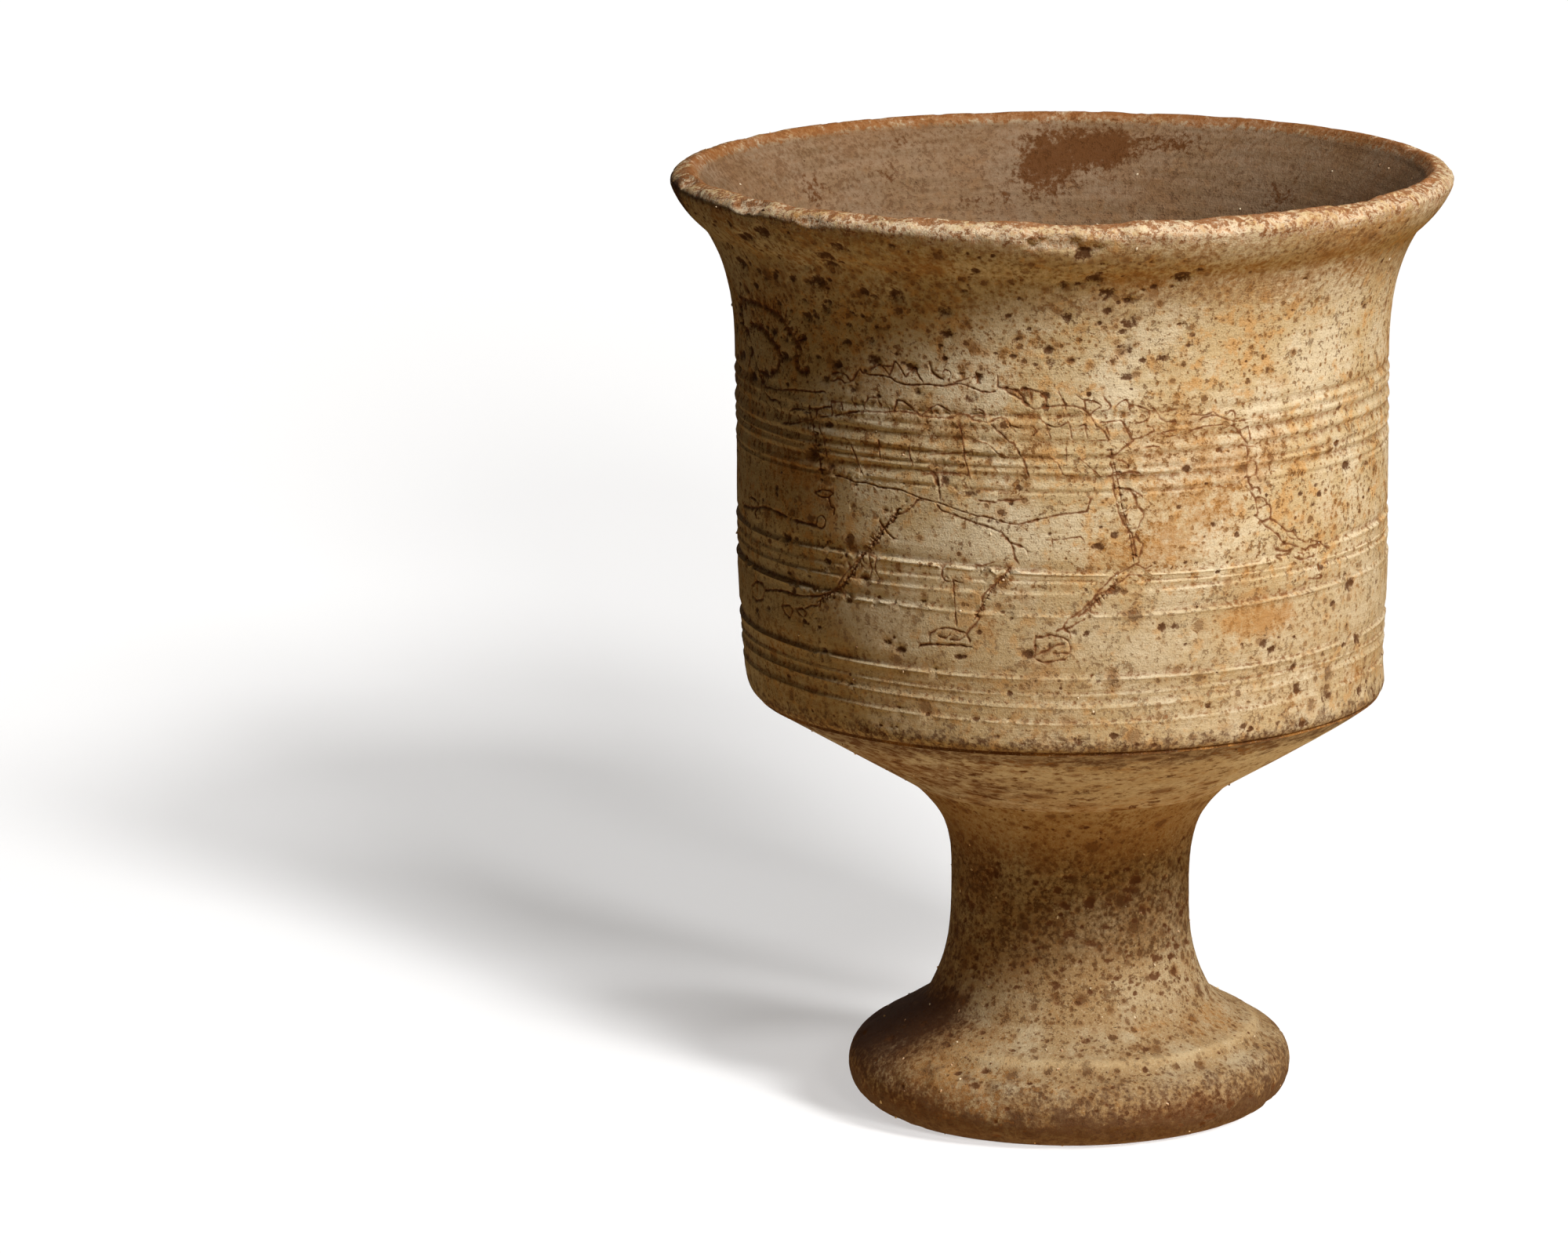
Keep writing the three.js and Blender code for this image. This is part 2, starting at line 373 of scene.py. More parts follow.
def wheel_tree():
    """Geometry Nodes that throw a flat sheet: X is the share of a turn, Y the run
    along the outline and Z how far the surface lifts. Hand wobble and the vessel's
    slight lean are added last."""
    tree, given = new_group(
        "throw_on_wheel", "GeometryNodeTree",
        [("Geometry", "Geometry"), ("Outline", "Object"), ("Wobble", "Float"), ("Wobble Size", "Float"),
         ("Tooth", "Float"), ("Tooth Size", "Float"), ("Lean", "Float"), ("Height", "Float"),
         ("Merge Gap", "Float"), ("Material", "Material")],
        [("Geometry", "Geometry")],
    )
    times, plus, minus, calc, *_ = sums(tree)
    flat = put(tree, "ShaderNodeSeparateXYZ", {0: put(tree, "GeometryNodeInputPosition").outputs[0]}).outputs
    outline = put(tree, "GeometryNodeObjectInfo", {"Object": given["Outline"]}).outputs["Geometry"]
    sample = put(tree, "GeometryNodeSampleCurve", {"Curves": outline, "Length": flat["Y"]}, mode="LENGTH")
    place = put(tree, "ShaderNodeSeparateXYZ", {0: sample.outputs["Position"]}).outputs
    way = put(tree, "ShaderNodeSeparateXYZ", {0: sample.outputs["Tangent"]}).outputs
    radius = calc("MULTIPLY_ADD", way["Z"], flat["Z"], place["X"])
    height = minus(place["Z"], times(way["X"], flat["Z"]))
    angle = times(flat["X"], 2 * math.pi)
    across, along = calc("SINE", angle), times(calc("COSINE", angle), -1.0)

    def turned(size):
        parts = {0: times(across, size), 1: times(along, size), 2: height}
        return put(tree, "ShaderNodeCombineXYZ", parts).outputs[0]

    def unevenness(depth, size):
        inputs = {"Vector": turned(radius), "Scale": calc("DIVIDE", 1.0, size), "Detail": 2.0}
        value = put(tree, "ShaderNodeTexNoise", inputs).outputs[0]
        return times(minus(value, 0.5), times(depth, 2.0))

    uneven = plus(unevenness(given["Wobble"], given["Wobble Size"]),
                  unevenness(given["Tooth"], given["Tooth Size"]))
    near_axis = calc("MINIMUM", calc("DIVIDE", radius, AXIS_REACH), 1.0)
    radius = calc("MULTIPLY_ADD", uneven, near_axis, radius)
    lean = put(tree, "ShaderNodeFloatCurve", {"Value": calc("DIVIDE", height, given["Height"])})
    curve = lean.mapping.curves[0]
    for share, value in LEAN_CURVE:
        curve.points.new(share, value)
    curve.points[0].location = LEAN_AT_FLOOR
    curve.points[-1].location = LEAN_AT_LIP
    lean.mapping.update()
    shift = times(minus(lean.outputs[0], 0.5), times(given["Lean"], 2.0))
    offset = put(tree, "ShaderNodeCombineXYZ", {0: shift}).outputs[0]
    moved = put(tree, "GeometryNodeSetPosition", {
        "Geometry": given["Geometry"], "Position": turned(radius), "Offset": offset,
    }).outputs[0]
    joined = put(tree, "GeometryNodeMergeByDistance", {"Geometry": moved, "Distance": given["Merge Gap"]})
    smooth = put(tree, "GeometryNodeSetShadeSmooth", {"Geometry": joined.outputs[0]}).outputs[0]
    real = put(tree, "GeometryNodeRealizeInstances", {"Geometry": smooth}).outputs[0]
    dressed = put(tree, "GeometryNodeSetMaterial", {"Geometry": real, "Material": given["Material"]})
    put(tree, "NodeGroupOutput", {"Geometry": dressed.outputs[0]})
    return tree


WHEEL = wheel_tree()
WHEEL_SETTINGS = {
    "Wobble": 0.55 * MM, "Wobble Size": 45 * MM, "Tooth": 0.09 * MM, "Tooth Size": 1.8 * MM,
    "Lean": 2.2 * MM, "Height": VESSEL_HEIGHT, "Merge Gap": MERGE_GAP,
}


def set_inputs(modifier, values):
    """Sets a Geometry Nodes modifier's inputs by their sockets' identifiers."""
    for item in modifier.node_group.interface.items_tree:
        if item.item_type == "SOCKET" and item.in_out == "INPUT" and item.name in values:
            modifier[item.identifier] = values[item.name]


def plain_copy(worked, name):
    """The worked object's evaluated mesh as a new plain object; the old one goes."""
    graph = bpy.context.evaluated_depsgraph_get()
    data = bpy.data.meshes.new_from_object(worked.evaluated_get(graph), depsgraph=graph)
    data.name = name
    bpy.data.objects.remove(worked)
    piece = bpy.data.objects.new(name, data)
    scene.collection.objects.link(piece)
    return piece


def throw(name, outline, sheet, lift, masks, material):
    """Throws a flat sheet into a finished piece. The masks become point attributes
    that the material reads."""
    turns, runs, faces = sheet
    data = bpy.data.meshes.new(name + "_sheet")
    data.from_pydata(list(zip(turns, runs, lift)), [], faces)
    for mask, values in masks.items():
        layer = data.attributes.new(mask, "FLOAT", "POINT")
        layer.data.foreach_set("value", np.asarray(values, dtype=np.float32))
    on_corner = np.abs(np.asarray(runs)[:, None] - np.array(outline.corners())).min(axis=1) < 0.001 * MM
    ends = np.empty(2 * len(data.edges), dtype=np.int32)
    data.edges.foreach_get("vertices", ends)
    layer = data.attributes.new("sharp_edge", "BOOLEAN", "EDGE")
    layer.data.foreach_set("value", on_corner[ends].reshape(-1, 2).all(axis=1))
    sheet_object = bpy.data.objects.new(name + "_sheet", data)
    scene.collection.objects.link(sheet_object)
    line = bpy.data.curves.new(name + "_outline", "CURVE")
    line.dimensions = "3D"
    spline = line.splines.new("POLY")
    spline.points.add(len(outline.points) - 1)
    for point, (radius, height) in zip(spline.points, outline.points):
        point.co = (radius, 0, height, 1)
    line_object = bpy.data.objects.new(name + "_outline", line)
    scene.collection.objects.link(line_object)
    wheel = sheet_object.modifiers.new("wheel", "NODES")
    wheel.node_group = WHEEL
    set_inputs(wheel, {**WHEEL_SETTINGS, "Outline": line_object, "Material": material})
    piece = plain_copy(sheet_object, name)
    bpy.data.objects.remove(line_object)
    return piece


PIT_RINGS = ((0.55, 6), (1.08, 8))
PIT_DEPTHS = (0.25, 0.45)
PIT_STRETCHES = (1.0, 1.6)


def pit_points(pits, outline):
    """Corners for pits: a middle and two rings round each."""
    points = []
    for turn, run, size, depth, stretch in pits:
        around = 2 * math.pi * max(float(outline.at(run)[0]), MM)
        points.append((turn, run))
        for ring, count in PIT_RINGS:
            for step in range(count):
                angle = 2 * math.pi * (step + ring) / count
                points.append((
                    turn + size * stretch * ring * math.cos(angle) / around,
                    run + size * ring * math.sin(angle),
                ))
    return points


def pit_depth(pits, outline, turns, runs):
    """How deep each point lies in a pit, and the mask of the pits' insides."""
    depth = np.zeros(len(turns))
    mask = np.zeros(len(turns))
    around = 2 * math.pi * outline.at(runs)[0]
    for turn, run, size, deep, stretch in pits:
        near = np.nonzero(np.abs(runs - run) < size)[0]
        across = (turns[near] - turn) * around[near] / stretch
        share = np.sqrt(across ** 2 + (runs[near] - run) ** 2) / size
        inside = share < 1
        hit = near[inside]
        bowl = 1 - share[inside] ** 2
        depth[hit] = np.maximum(depth[hit], deep * bowl)
        mask[hit] = np.maximum(mask[hit], bowl * min(1, 0.35 + size / (1.2 * MM)))
    return depth, mask


def scatter_pits(outline, seed, count, low, high, smallest, largest, stretch=1.0, sides=(-180, 180)):
    """Pits at random on the outline's stretch from low to high, mostly small ones, all
    round or between two sides in degrees."""
    draw = random.Random(seed)
    pits = []
    for _ in range(count):
        size = between(smallest, largest, draw.random() ** 3)
        turn, run = draw.uniform(sides[0] / 360, sides[1] / 360), draw.uniform(low, high)
        if min(abs(run - corner) for corner in outline.corners()) > 1.5 * size:
            deep, wide = size * draw.uniform(*PIT_DEPTHS), draw.uniform(*PIT_STRETCHES) * stretch
            pits.append((turn, run, size, deep, wide))
    return pits


def pitted_sheet(outline, rows, gap, sorts):
    """The flat sheet of a piece with sorts of pits, their depth and their mask."""
    pits = [pit for sort in sorts for pit in scatter_pits(outline, *sort)]
    sheet = flat_sheet(outline, rows, gap, pit_points(pits, outline))
    return sheet, *pit_depth(pits, outline, *sheet[:2])


def worn_noise(outline, turns, runs, size):
    """Smooth noise from -1 to 1 at each point's place on the thrown form."""
    radius, height = outline.at(runs)
    angle = 2 * np.pi * turns
    places = np.stack((radius * np.sin(angle), -radius * np.cos(angle), height), axis=1) / size
    return np.array([noise.noise(Vector(p)) for p in places])


def ramp(values, low, high):
    """0 below low, 1 above high and smooth between them."""
    share = np.clip((values - low) / (high - low), 0, 1)
    return share * share * (3 - 2 * share)


def stain_mask(stains, outline, turns, runs):
    """Soft stains, added up. For each: degrees round from the front, to the right, mm
    above the floor, half width and half height in mm, and strength."""
    radius, height = outline.at(runs)
    total = np.zeros(len(turns))
    for place, level, width, tall, strength in stains:
        apart = (turns * 360 - place + 180) % 360 - 180
        across = np.radians(apart) * radius / MM / width
        up = (height / MM - level) / tall
        total += strength * np.exp(-(across ** 2 + up ** 2))
    return total


# Fired clay's finish is the same on every piece, with its own balance of colours:
# a thin cream slip over sandy terracotta, stained brown, pitted and specked.
CREAM = (0.74, 0.61, 0.405, 1)
TAN = (0.62, 0.455, 0.24, 1)
STAIN = (0.46, 0.21, 0.05, 1)
BROWN = (0.125, 0.045, 0.012, 1)
SCRATCHED = (0.17, 0.058, 0.017, 1)
OCHRE = (0.64, 0.33, 0.10, 1)
RUST = (0.26, 0.092, 0.022, 1)
PINK = (0.56, 0.33, 0.18, 1)
CHALK = (0.76, 0.63, 0.44, 1)


def spot_group():
    """Scattered spots: cells of a given size, a share of which hold a ragged spot."""
    group, given = new_group(
        "scattered_spots", "ShaderNodeTree",
        [("Vector", "Vector"), ("Ragged", "Float", 0.5), ("Cells", "Float", 300.0),
         ("Size", "Float", 0.3), ("Share", "Float", 0.5)],
        [("Halo", "Float"), ("Core", "Float")],
    )
    times, plus, minus, calc, mask, *_ = sums(group)
    cells = put(group, "ShaderNodeTexVoronoi", {"Vector": given["Vector"], "Scale": given["Cells"]})
    tone = put(group, "ShaderNodeSeparateColor", {0: cells.outputs["Color"]}).outputs
    size = times(given["Size"], calc("MULTIPLY_ADD", calc("POWER", tone[1], 2.0), 0.8, 0.35))
    away = calc("DIVIDE", cells.outputs["Distance"], size)
    away = plus(away, times(minus(given["Ragged"], 0.5), 3.0))
    held = calc("LESS_THAN", tone[0], given["Share"])
    dark = calc("MULTIPLY_ADD", tone[2], 0.6, 0.4)
    halo = times(mask(away, 1.9, 0.5), held)
    core = times(times(mask(away, 0.95, 0.55), held), dark)
    put(group, "NodeGroupOutput", {"Halo": halo, "Core": core})
    return group


SPOTS = spot_group()


def skin_group():
    """The fired skin: cream and tan clouds, streaks of the wheel, ochre blotches,
    brown stains, fine specks, spots, pits, pale grit and the sandy grain under them."""
    group, given = new_group(
        "fired_skin", "ShaderNodeTree",
        [("Vector", "Vector"), ("Cream", "Color", CREAM), ("Tan", "Color", TAN), ("Stain", "Color", STAIN),
         ("Speck", "Color", BROWN), ("Blotch", "Color", OCHRE), ("Tan Share", "Float", 0.5),
         ("Blotch Share", "Float", 0.5), ("Stain Share", "Float", 0.4), ("Speck Share", "Float", 0.4),
         ("Spot Share", "Float", 0.3), ("Grit Share", "Float", 0.06)],
        [("Color", "Color"), ("Height", "Float"), ("Roughness", "Float"), ("Grain", "Float"),
         ("Streaks", "Float")],
    )
    times, plus, minus, calc, mask, over, cloud = sums(group)
    vector = given["Vector"]
    long_way = put(group, "ShaderNodeMapping", {"Vector": vector, "Scale": (0.08, 0.08, 1.0)}).outputs[0]
    streaks = cloud(long_way, 1.4 * MM, 4.0, 0.6)
    grain = cloud(vector, 0.42 * MM, 3.0, 0.75)
    speckle = cloud(vector, 1.3 * MM, 4.0, 0.72)
    blotches = cloud(vector, 3.4 * MM, 4.0, 0.62, (0.11, 0.07, 0.23))
    patches = cloud(vector, 5.5 * MM, 5.0, 0.66)
    clouds = cloud(vector, 19 * MM, 4.0, 0.6)
    broad = cloud(vector, 30 * MM, 3.0, 0.55, (0.31, 0.17, 0.05))

    def raised(share, reach):
        """A threshold that falls as a share rises."""
        return minus(reach, times(share, 0.3))

    def part(value, share):
        """A value's distance from its middle, times a share."""
        return times(minus(value, 0.5), share)

    mixed = calc("MULTIPLY_ADD", clouds, 0.62, times(patches, 0.30))
    mixed = plus(mixed, calc("MULTIPLY_ADD", streaks, 0.14, -0.03))
    edge = raised(given["Tan Share"], 0.60)
    tanned = mask(mixed, minus(edge, 0.06), plus(edge, 0.11))
    colour = over(tanned, given["Cream"], given["Tan"])
    blotched = plus(blotches, part(clouds, 0.5))
    edge = raised(given["Blotch Share"], 0.67)
    blotched = mask(blotched, edge, plus(edge, 0.14))
    colour = over(blotched, colour, given["Blotch"], 0.65)
    stained = calc("MULTIPLY_ADD", speckle, 0.26, times(patches, 0.22))
    stained = calc("MULTIPLY_ADD", broad, 0.62, stained)
    edge = raised(given["Stain Share"], 0.73)
    stained = mask(stained, edge, plus(edge, 0.13))
    colour = over(stained, colour, given["Stain"], 0.75)
    colour = over(mask(speckle, 0.53, 0.66), colour, given["Stain"], 0.45)
    colour = over(mask(grain, 0.46, 0.30), colour, CHALK, 0.38)
    colour = over(mask(grain, 0.52, 0.68), colour, given["Speck"], 0.42)
    specked = plus(speckle, part(patches, 0.5))
    edge = raised(given["Speck Share"], 0.74)
    specks = mask(specked, edge, plus(edge, 0.06))
    colour = over(specks, colour, given["Speck"], 0.6)
    height = calc("MULTIPLY_ADD", grain, 0.8, times(streaks, 0.8))
    height = calc("MULTIPLY_ADD", speckle, 0.5, height)
    height = calc("MULTIPLY_ADD", specks, -0.5, height)
    spread = plus(given["Spot Share"], part(clouds, 0.9))
    sorts = ((4.6 * MM, speckle, 0.75, 0.92), (2.4 * MM, speckle, 0.9, 0.85), (1.2 * MM, grain, 1.0, 0.65))
    for cell, ragged, share, strength in sorts:
        spots = put(group, "ShaderNodeGroup", {
            "Vector": vector, "Ragged": ragged, "Cells": 1 / cell, "Size": 0.34,
            "Share": times(spread, share),
        }, node_tree=SPOTS).outputs
        colour = over(spots["Halo"], colour, given["Stain"], 0.6)
        colour = over(times(spots["Core"], strength), colour, given["Speck"])
        height = calc("MULTIPLY_ADD", spots["Core"], -0.8, height)
    grit = put(group, "ShaderNodeGroup", {
        "Vector": vector, "Ragged": 0.5, "Cells": 1 / (1.3 * MM), "Size": 0.18, "Share": given["Grit Share"],
    }, node_tree=SPOTS).outputs["Core"]
    colour = over(grit, colour, CHALK, 0.8)
    put(group, "NodeGroupOutput", {
        "Color": colour, "Height": calc("MULTIPLY_ADD", grit, 0.5, height),
        "Roughness": calc("MULTIPLY_ADD", grain, 0.25, 0.66), "Grain": speckle, "Streaks": streaks,
    })
    return group


SKIN = skin_group()


INNER_PALE = (0.200, 0.108, 0.055, 1)
INNER_DARK = (0.132, 0.065, 0.028, 1)
SOOT = (0.105, 0.034, 0.005, 1)
# The next two browns colour the shade and dirt marks, which are mostly painted shade on the foot, stem and
# cone; the second also edges the pits.
SHADE_AND_DIRT_DARK = (0.066, 0.021, 0.005, 1)
SHADE_AND_PIT_BROWN = (0.19, 0.075, 0.024, 1)
CHARRED = (0.10, 0.037, 0.011, 1)
# What the masks on a mesh do to its skin, in order: the mask, where its mark starts and
# where it is full, how ragged its edge is, its strength and its colour, if not bare clay.
# The shade and dirt marks are mostly painted shade, the stain mark is painted shade on
# the cone's left side as well as stains, and the ledge's pale mark is a painted highlight.
MARKS = (
    ("rim", 0.25, 0.85, 1.5, 0.8, RUST), ("stain", 0.35, 1.15, 1.3, 0.70, STAIN),
    ("soot", 0.30, 0.85, 1.6, 0.92, SOOT), ("chip", 0.25, 0.7, 1.4, 0.8, None),
    ("crest", 0.55, 1.05, 2.6, 0.85, RUST), ("dirt", 0.0, 0.8, 1.4, 0.5, SHADE_AND_PIT_BROWN),
    ("dirt", 0.15, 1.2, 1.8, 0.9, SHADE_AND_DIRT_DARK), ("ledge", 0.1, 1.1, 1.0, 0.4, TAN),
    ("pit", 0.0, 0.7, 2.2, 0.6, SHADE_AND_PIT_BROWN), ("pit", 0.25, 0.9, 2.0, 0.88, CHARRED),
    ("cut", 0.1, 0.7, 1.1, 0.7, RUST), ("cut", 0.6, 1.05, 0.9, 0.85, SCRATCHED),
)
BUMP_STRENGTH = 0.65
BUMP_DEPTH = 0.5 * MM
EDGE_REACH = 16 * MM


def clay(name, tones=None, zones=(), stretch=1.0):
    """A finished clay material. The zones are bands of height, each with a colour and
    a strength, and ragged edges; some of them are painted shade. The masks on the mesh
    darken cuts and pits, bare the clay on chips, lay stains where the photograph shows
    them, and paint shade on the foot, stem and cone and a highlight on the foot's ledge.
    A stretch under 1 draws the skin's marks out round the vessel."""
    material, tree, out = blank_material(name)
    times, plus, minus, calc, mask, over, cloud = sums(tree)
    place = put(tree, "ShaderNodeTexCoord").outputs["Object"]
    height = put(tree, "ShaderNodeSeparateXYZ", {0: place}).outputs["Z"]
    drawn = put(tree, "ShaderNodeMapping", {"Vector": place, "Scale": (stretch, stretch, 1.0)}).outputs[0]
    skin_node = put(tree, "ShaderNodeGroup", {"Vector": drawn, **(tones or {})}, node_tree=SKIN)
    skin = skin_node.outputs
    inner = put(tree, "ShaderNodeAttribute", attribute_name="inside").outputs["Fac"]
    flecks = put(tree, "ShaderNodeAttribute", attribute_name="flecks").outputs["Fac"]
    more_spots = plus(flecks, skin_node.inputs["Spot Share"].default_value)
    more_grit = calc("MULTIPLY_ADD", inner, 0.85, skin_node.inputs["Grit Share"].default_value)
    tree.links.new(more_spots, skin_node.inputs["Spot Share"])
    tree.links.new(more_grit, skin_node.inputs["Grit Share"])
    ragged = cloud(place, 4 * MM, 6.0, 0.68)
    colour = skin["Color"]
    wavy = plus(height, times(minus(ragged, 0.5), EDGE_REACH))
    for low, high, feather, tone, strength, broken in zones:
        below_top = minus(1.0, mask(wavy, high, high + feather))
        band = times(mask(wavy, low - feather, low), below_top)
        torn = calc("MULTIPLY_ADD", mask(skin["Grain"], 0.40, 0.58), broken, 1 - broken)
        colour = over(times(times(band, torn), strength), colour, tone)

    def mark(attribute, low, high, edge):
        """A mesh mask with its edge broken by the clay's grain."""
        value = put(tree, "ShaderNodeAttribute", attribute_name=attribute).outputs["Fac"]
        grainy = times(minus(skin["Grain"], 0.5), 1.4)
        rough = plus(minus(ragged, 0.5), grainy)
        rough = times(rough, calc("MINIMUM", times(value, 4.0), 1.0))
        return mask(plus(value, times(rough, edge)), low, high)

    bare = calc("MULTIPLY_ADD", skin["Grain"], 0.35, times(skin["Streaks"], 0.65))
    bare = over(mask(bare, 0.36, 0.64), INNER_PALE, INNER_DARK)
    colour = over(inner, colour, bare, 0.86)
    fresh = cloud(place, 1.6 * MM, 4.0, 0.7)
    flesh = over(mask(fresh, 0.40, 0.54), PINK, CHALK)
    flesh = over(mask(fresh, 0.51, 0.58), flesh, RUST, 0.85)
    for attribute, low, high, edge, strength, tone in MARKS:
        colour = over(mark(attribute, low, high, edge), colour, tone or flesh, strength)
    bump = put(tree, "ShaderNodeBump", {
        "Strength": BUMP_STRENGTH, "Distance": BUMP_DEPTH, "Height": skin["Height"],
    })
    shader = put(tree, "ShaderNodeBsdfPrincipled", {
        "Base Color": colour, "Roughness": skin["Roughness"], "Normal": bump.outputs[0],
        "Specular IOR Level": 0.15,
    })
    tree.links.new(shader.outputs[0], out.inputs["Surface"])
    return material


PEDESTAL_TONES = {
    "Cream": (0.425, 0.325, 0.19, 1), "Tan": (0.335, 0.215, 0.097, 1), "Stain": (0.22, 0.098, 0.028, 1),
    "Speck": (0.095, 0.037, 0.011, 1), "Blotch": (0.31, 0.16, 0.05, 1), "Tan Share": 0.5,
    "Blotch Share": 0.2, "Stain Share": 0.45, "Speck Share": 0.5, "Spot Share": 0.75, "Grit Share": 0.12,
}
# Bands of height on the foot, stem and collar, told as for clay's zones: the foot's dark worn edge and a
# darker band above it, a dark band round the upper stem that is painted shadow of the bowl over the stem's
# own dark specks, and the collar's orange-brown stain.
PEDESTAL_ZONES = (
    (-20 * MM, 7 * MM, 3 * MM, (0.085, 0.038, 0.017, 1), 0.93, 0.15),
    (5 * MM, 12.5 * MM, 3 * MM, (0.11, 0.052, 0.023, 1), 0.8, 0.9),
    (41 * MM, 58 * MM, 8 * MM, (0.08, 0.033, 0.009, 1), 0.62, 0.8),
    (62 * MM, 71 * MM, 6 * MM, (0.25, 0.11, 0.028, 1), 0.5, 0.6),
)


def grit_tree():
    """Geometry Nodes that set grit in a surface: points on its faces, a rough stone
    on each, sunk to about half its height."""
    tree, given = new_group(
        "set_grit", "GeometryNodeTree",
        [("Geometry", "Geometry"), ("Density", "Float"), ("Least Gap", "Float"), ("Stone Size", "Float"),
         ("Seed", "Int"), ("Stone", "Material")],
        [("Geometry", "Geometry")],
    )
    spread = put(tree, "GeometryNodeDistributePointsOnFaces", {
        "Mesh": given["Geometry"], "Distance Min": given["Least Gap"], "Density Max": given["Density"],
        "Seed": given["Seed"],
    }, distribute_method="POISSON")
    stone = put(tree, "GeometryNodeMeshIcoSphere", {"Radius": given["Stone Size"], "Subdivisions": 1})

    def draw(least, most):
        inputs = {0: least, 1: most, "Seed": given["Seed"]}
        return put(tree, "FunctionNodeRandomValue", inputs, data_type="FLOAT_VECTOR").outputs[0]

    turn, size = draw((0, 0, 0), (6.28, 6.28, 6.28)), draw((0.35, 0.3, 0.25), (1.0, 0.8, 0.6))
    marked = put(tree, "GeometryNodeStoreNamedAttribute", {
        "Geometry": stone.outputs[0], "Name": "grit", "Value": True,
    }, data_type="BOOLEAN", domain="FACE")
    stones = put(tree, "GeometryNodeInstanceOnPoints", {
        "Points": spread.outputs["Points"], "Instance": marked.outputs[0], "Rotation": turn, "Scale": size,
    })
    both = put(tree, "GeometryNodeJoinGeometry")
    tree.links.new(stones.outputs[0], both.inputs[0])
    tree.links.new(given["Geometry"], both.inputs[0])
    real = put(tree, "GeometryNodeRealizeInstances", {"Geometry": both.outputs[0]})
    of_grit = put(tree, "GeometryNodeInputNamedAttribute", {"Name": "grit"}, data_type="BOOLEAN")
    dressed = put(tree, "GeometryNodeSetMaterial", {
        "Geometry": real.outputs[0], "Selection": of_grit.outputs["Attribute"], "Material": given["Stone"],
    })
    put(tree, "NodeGroupOutput", {"Geometry": dressed.outputs[0]})
    return tree


GRIT = grit_tree()


def grit_material():
    """Stone of the grit: each grain its own tone, from chalk white to dark brown."""
    material, tree, out = blank_material("grit_stone")
    *_, calc, mask, over, cloud = sums(tree)
    place = put(tree, "ShaderNodeTexCoord").outputs["Object"]
    tone = cloud(place, 2.3 * MM, 0.0, 0.5)
    fine = cloud(place, 0.2 * MM, 2.0, 0.6)
    pale = over(mask(tone, 0.42, 0.50), BROWN, PINK)
    colour = over(mask(tone, 0.52, 0.58), pale, CHALK)
    colour = over(mask(fine, 0.4, 0.7), colour, TAN, 0.3)
    bump = put(tree, "ShaderNodeBump", {"Strength": 0.5, "Distance": 0.1 * MM, "Height": fine})
    shader = put(tree, "ShaderNodeBsdfPrincipled", {
        "Base Color": colour, "Roughness": calc("MULTIPLY_ADD", fine, 0.3, 0.55), "Normal": bump.outputs[0],
    })
    tree.links.new(shader.outputs[0], out.inputs["Surface"])
    return material


STONE = grit_material()


def set_grit(piece, density, gap, size, seed):
    """Sets grit in a thrown piece and returns the piece that takes its place."""
    name = piece.name
    piece.name = name + "_plain"
    grit = piece.modifiers.new("grit", "NODES")
    grit.node_group = GRIT
    set_inputs(grit, {
        "Density": density, "Least Gap": gap, "Stone Size": size, "Seed": seed, "Stone": STONE,
    })
    return plain_copy(piece, name)


def finish_piece(piece, node, slot, *groups):
    """Rides a finished piece on the root, lets the key lamp light it, says which of the
    floor's suns it shades and hides the part it replaces. The slot is not used."""
    for group in (vessel_lit, *groups):
        group.objects.link(piece)
    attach(piece, "root")
    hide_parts(node)


STEM_WAIST_RADIUS = 26.4 * MM
STEM_WAIST_HEIGHT = 25.6 * MM
STEM_SHOULDER_RADIUS = 28.1 * MM
COLLAR_SHARES = (0.16, 0.4)
CONE_SHARES = ((0.19, 0.19), (0.70, 0.67))
SMOOTHING_STEP = 0.4 * MM
SMOOTHING_ROUNDS = 18


def cone_curve(start, end):
    """Points of the cone's two-way curve, both ends included."""
    controls = [(between(start[0], end[0], a), between(start[1], end[1], b)) for a, b in CONE_SHARES]
    points = []
    for step in range(CURVE_STEPS + 1):
        t = step / CURVE_STEPS
        weights = ((1 - t) ** 3, 3 * t * (1 - t) ** 2, 3 * t * t * (1 - t), t ** 3)
        corners = (start, *controls, end)
        points.append(tuple(sum(w * c[k] for w, c in zip(weights, corners)) for k in (0, 1)))
    return points


edge_radius = FOOT_EDGE_HEIGHT / 2
edge_centre = (foot_high.x - edge_radius, edge_radius)
edge = rounding(edge_centre, edge_radius, -math.pi / 2, math.pi * FOOT_EDGE_TURN_SHARE)
stem_low, stem_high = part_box("stem")
collar_low, collar_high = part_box("stem_collar")
base_low, base_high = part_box("bowl_base")
slope_top = (stem_high.x, foot_high.z)
waist = stem_low.z + STEM_WAIST_HEIGHT
collar_bottom = (STEM_SHOULDER_RADIUS, collar_low.z)
cone_start = (collar_high.x, collar_high.z)
cone_end = (base_high.x, base_high.z)
joined = Outline([
    *edge, *bend(edge[-1], slope_top, FOOT_SLOPE_SHARES), (stem_high.x, stem_low.z),
    *swell(STEM_WAIST_RADIUS, stem_high.x, stem_low.z, waist, 1, 0),
    *swell(STEM_WAIST_RADIUS, STEM_SHOULDER_RADIUS, waist, collar_low.z, 0, 1),
    *bend(collar_bottom, cone_start, COLLAR_SHARES), *cone_curve(cone_start, cone_end)[1:],
])
wiped = np.stack(joined.at(np.linspace(0, joined.length, round(joined.length / SMOOTHING_STEP))), axis=1)
for _ in range(SMOOTHING_ROUNDS):
    wiped[1:-1] = (wiped[:-2] + 2 * wiped[1:-1] + wiped[2:]) / 4


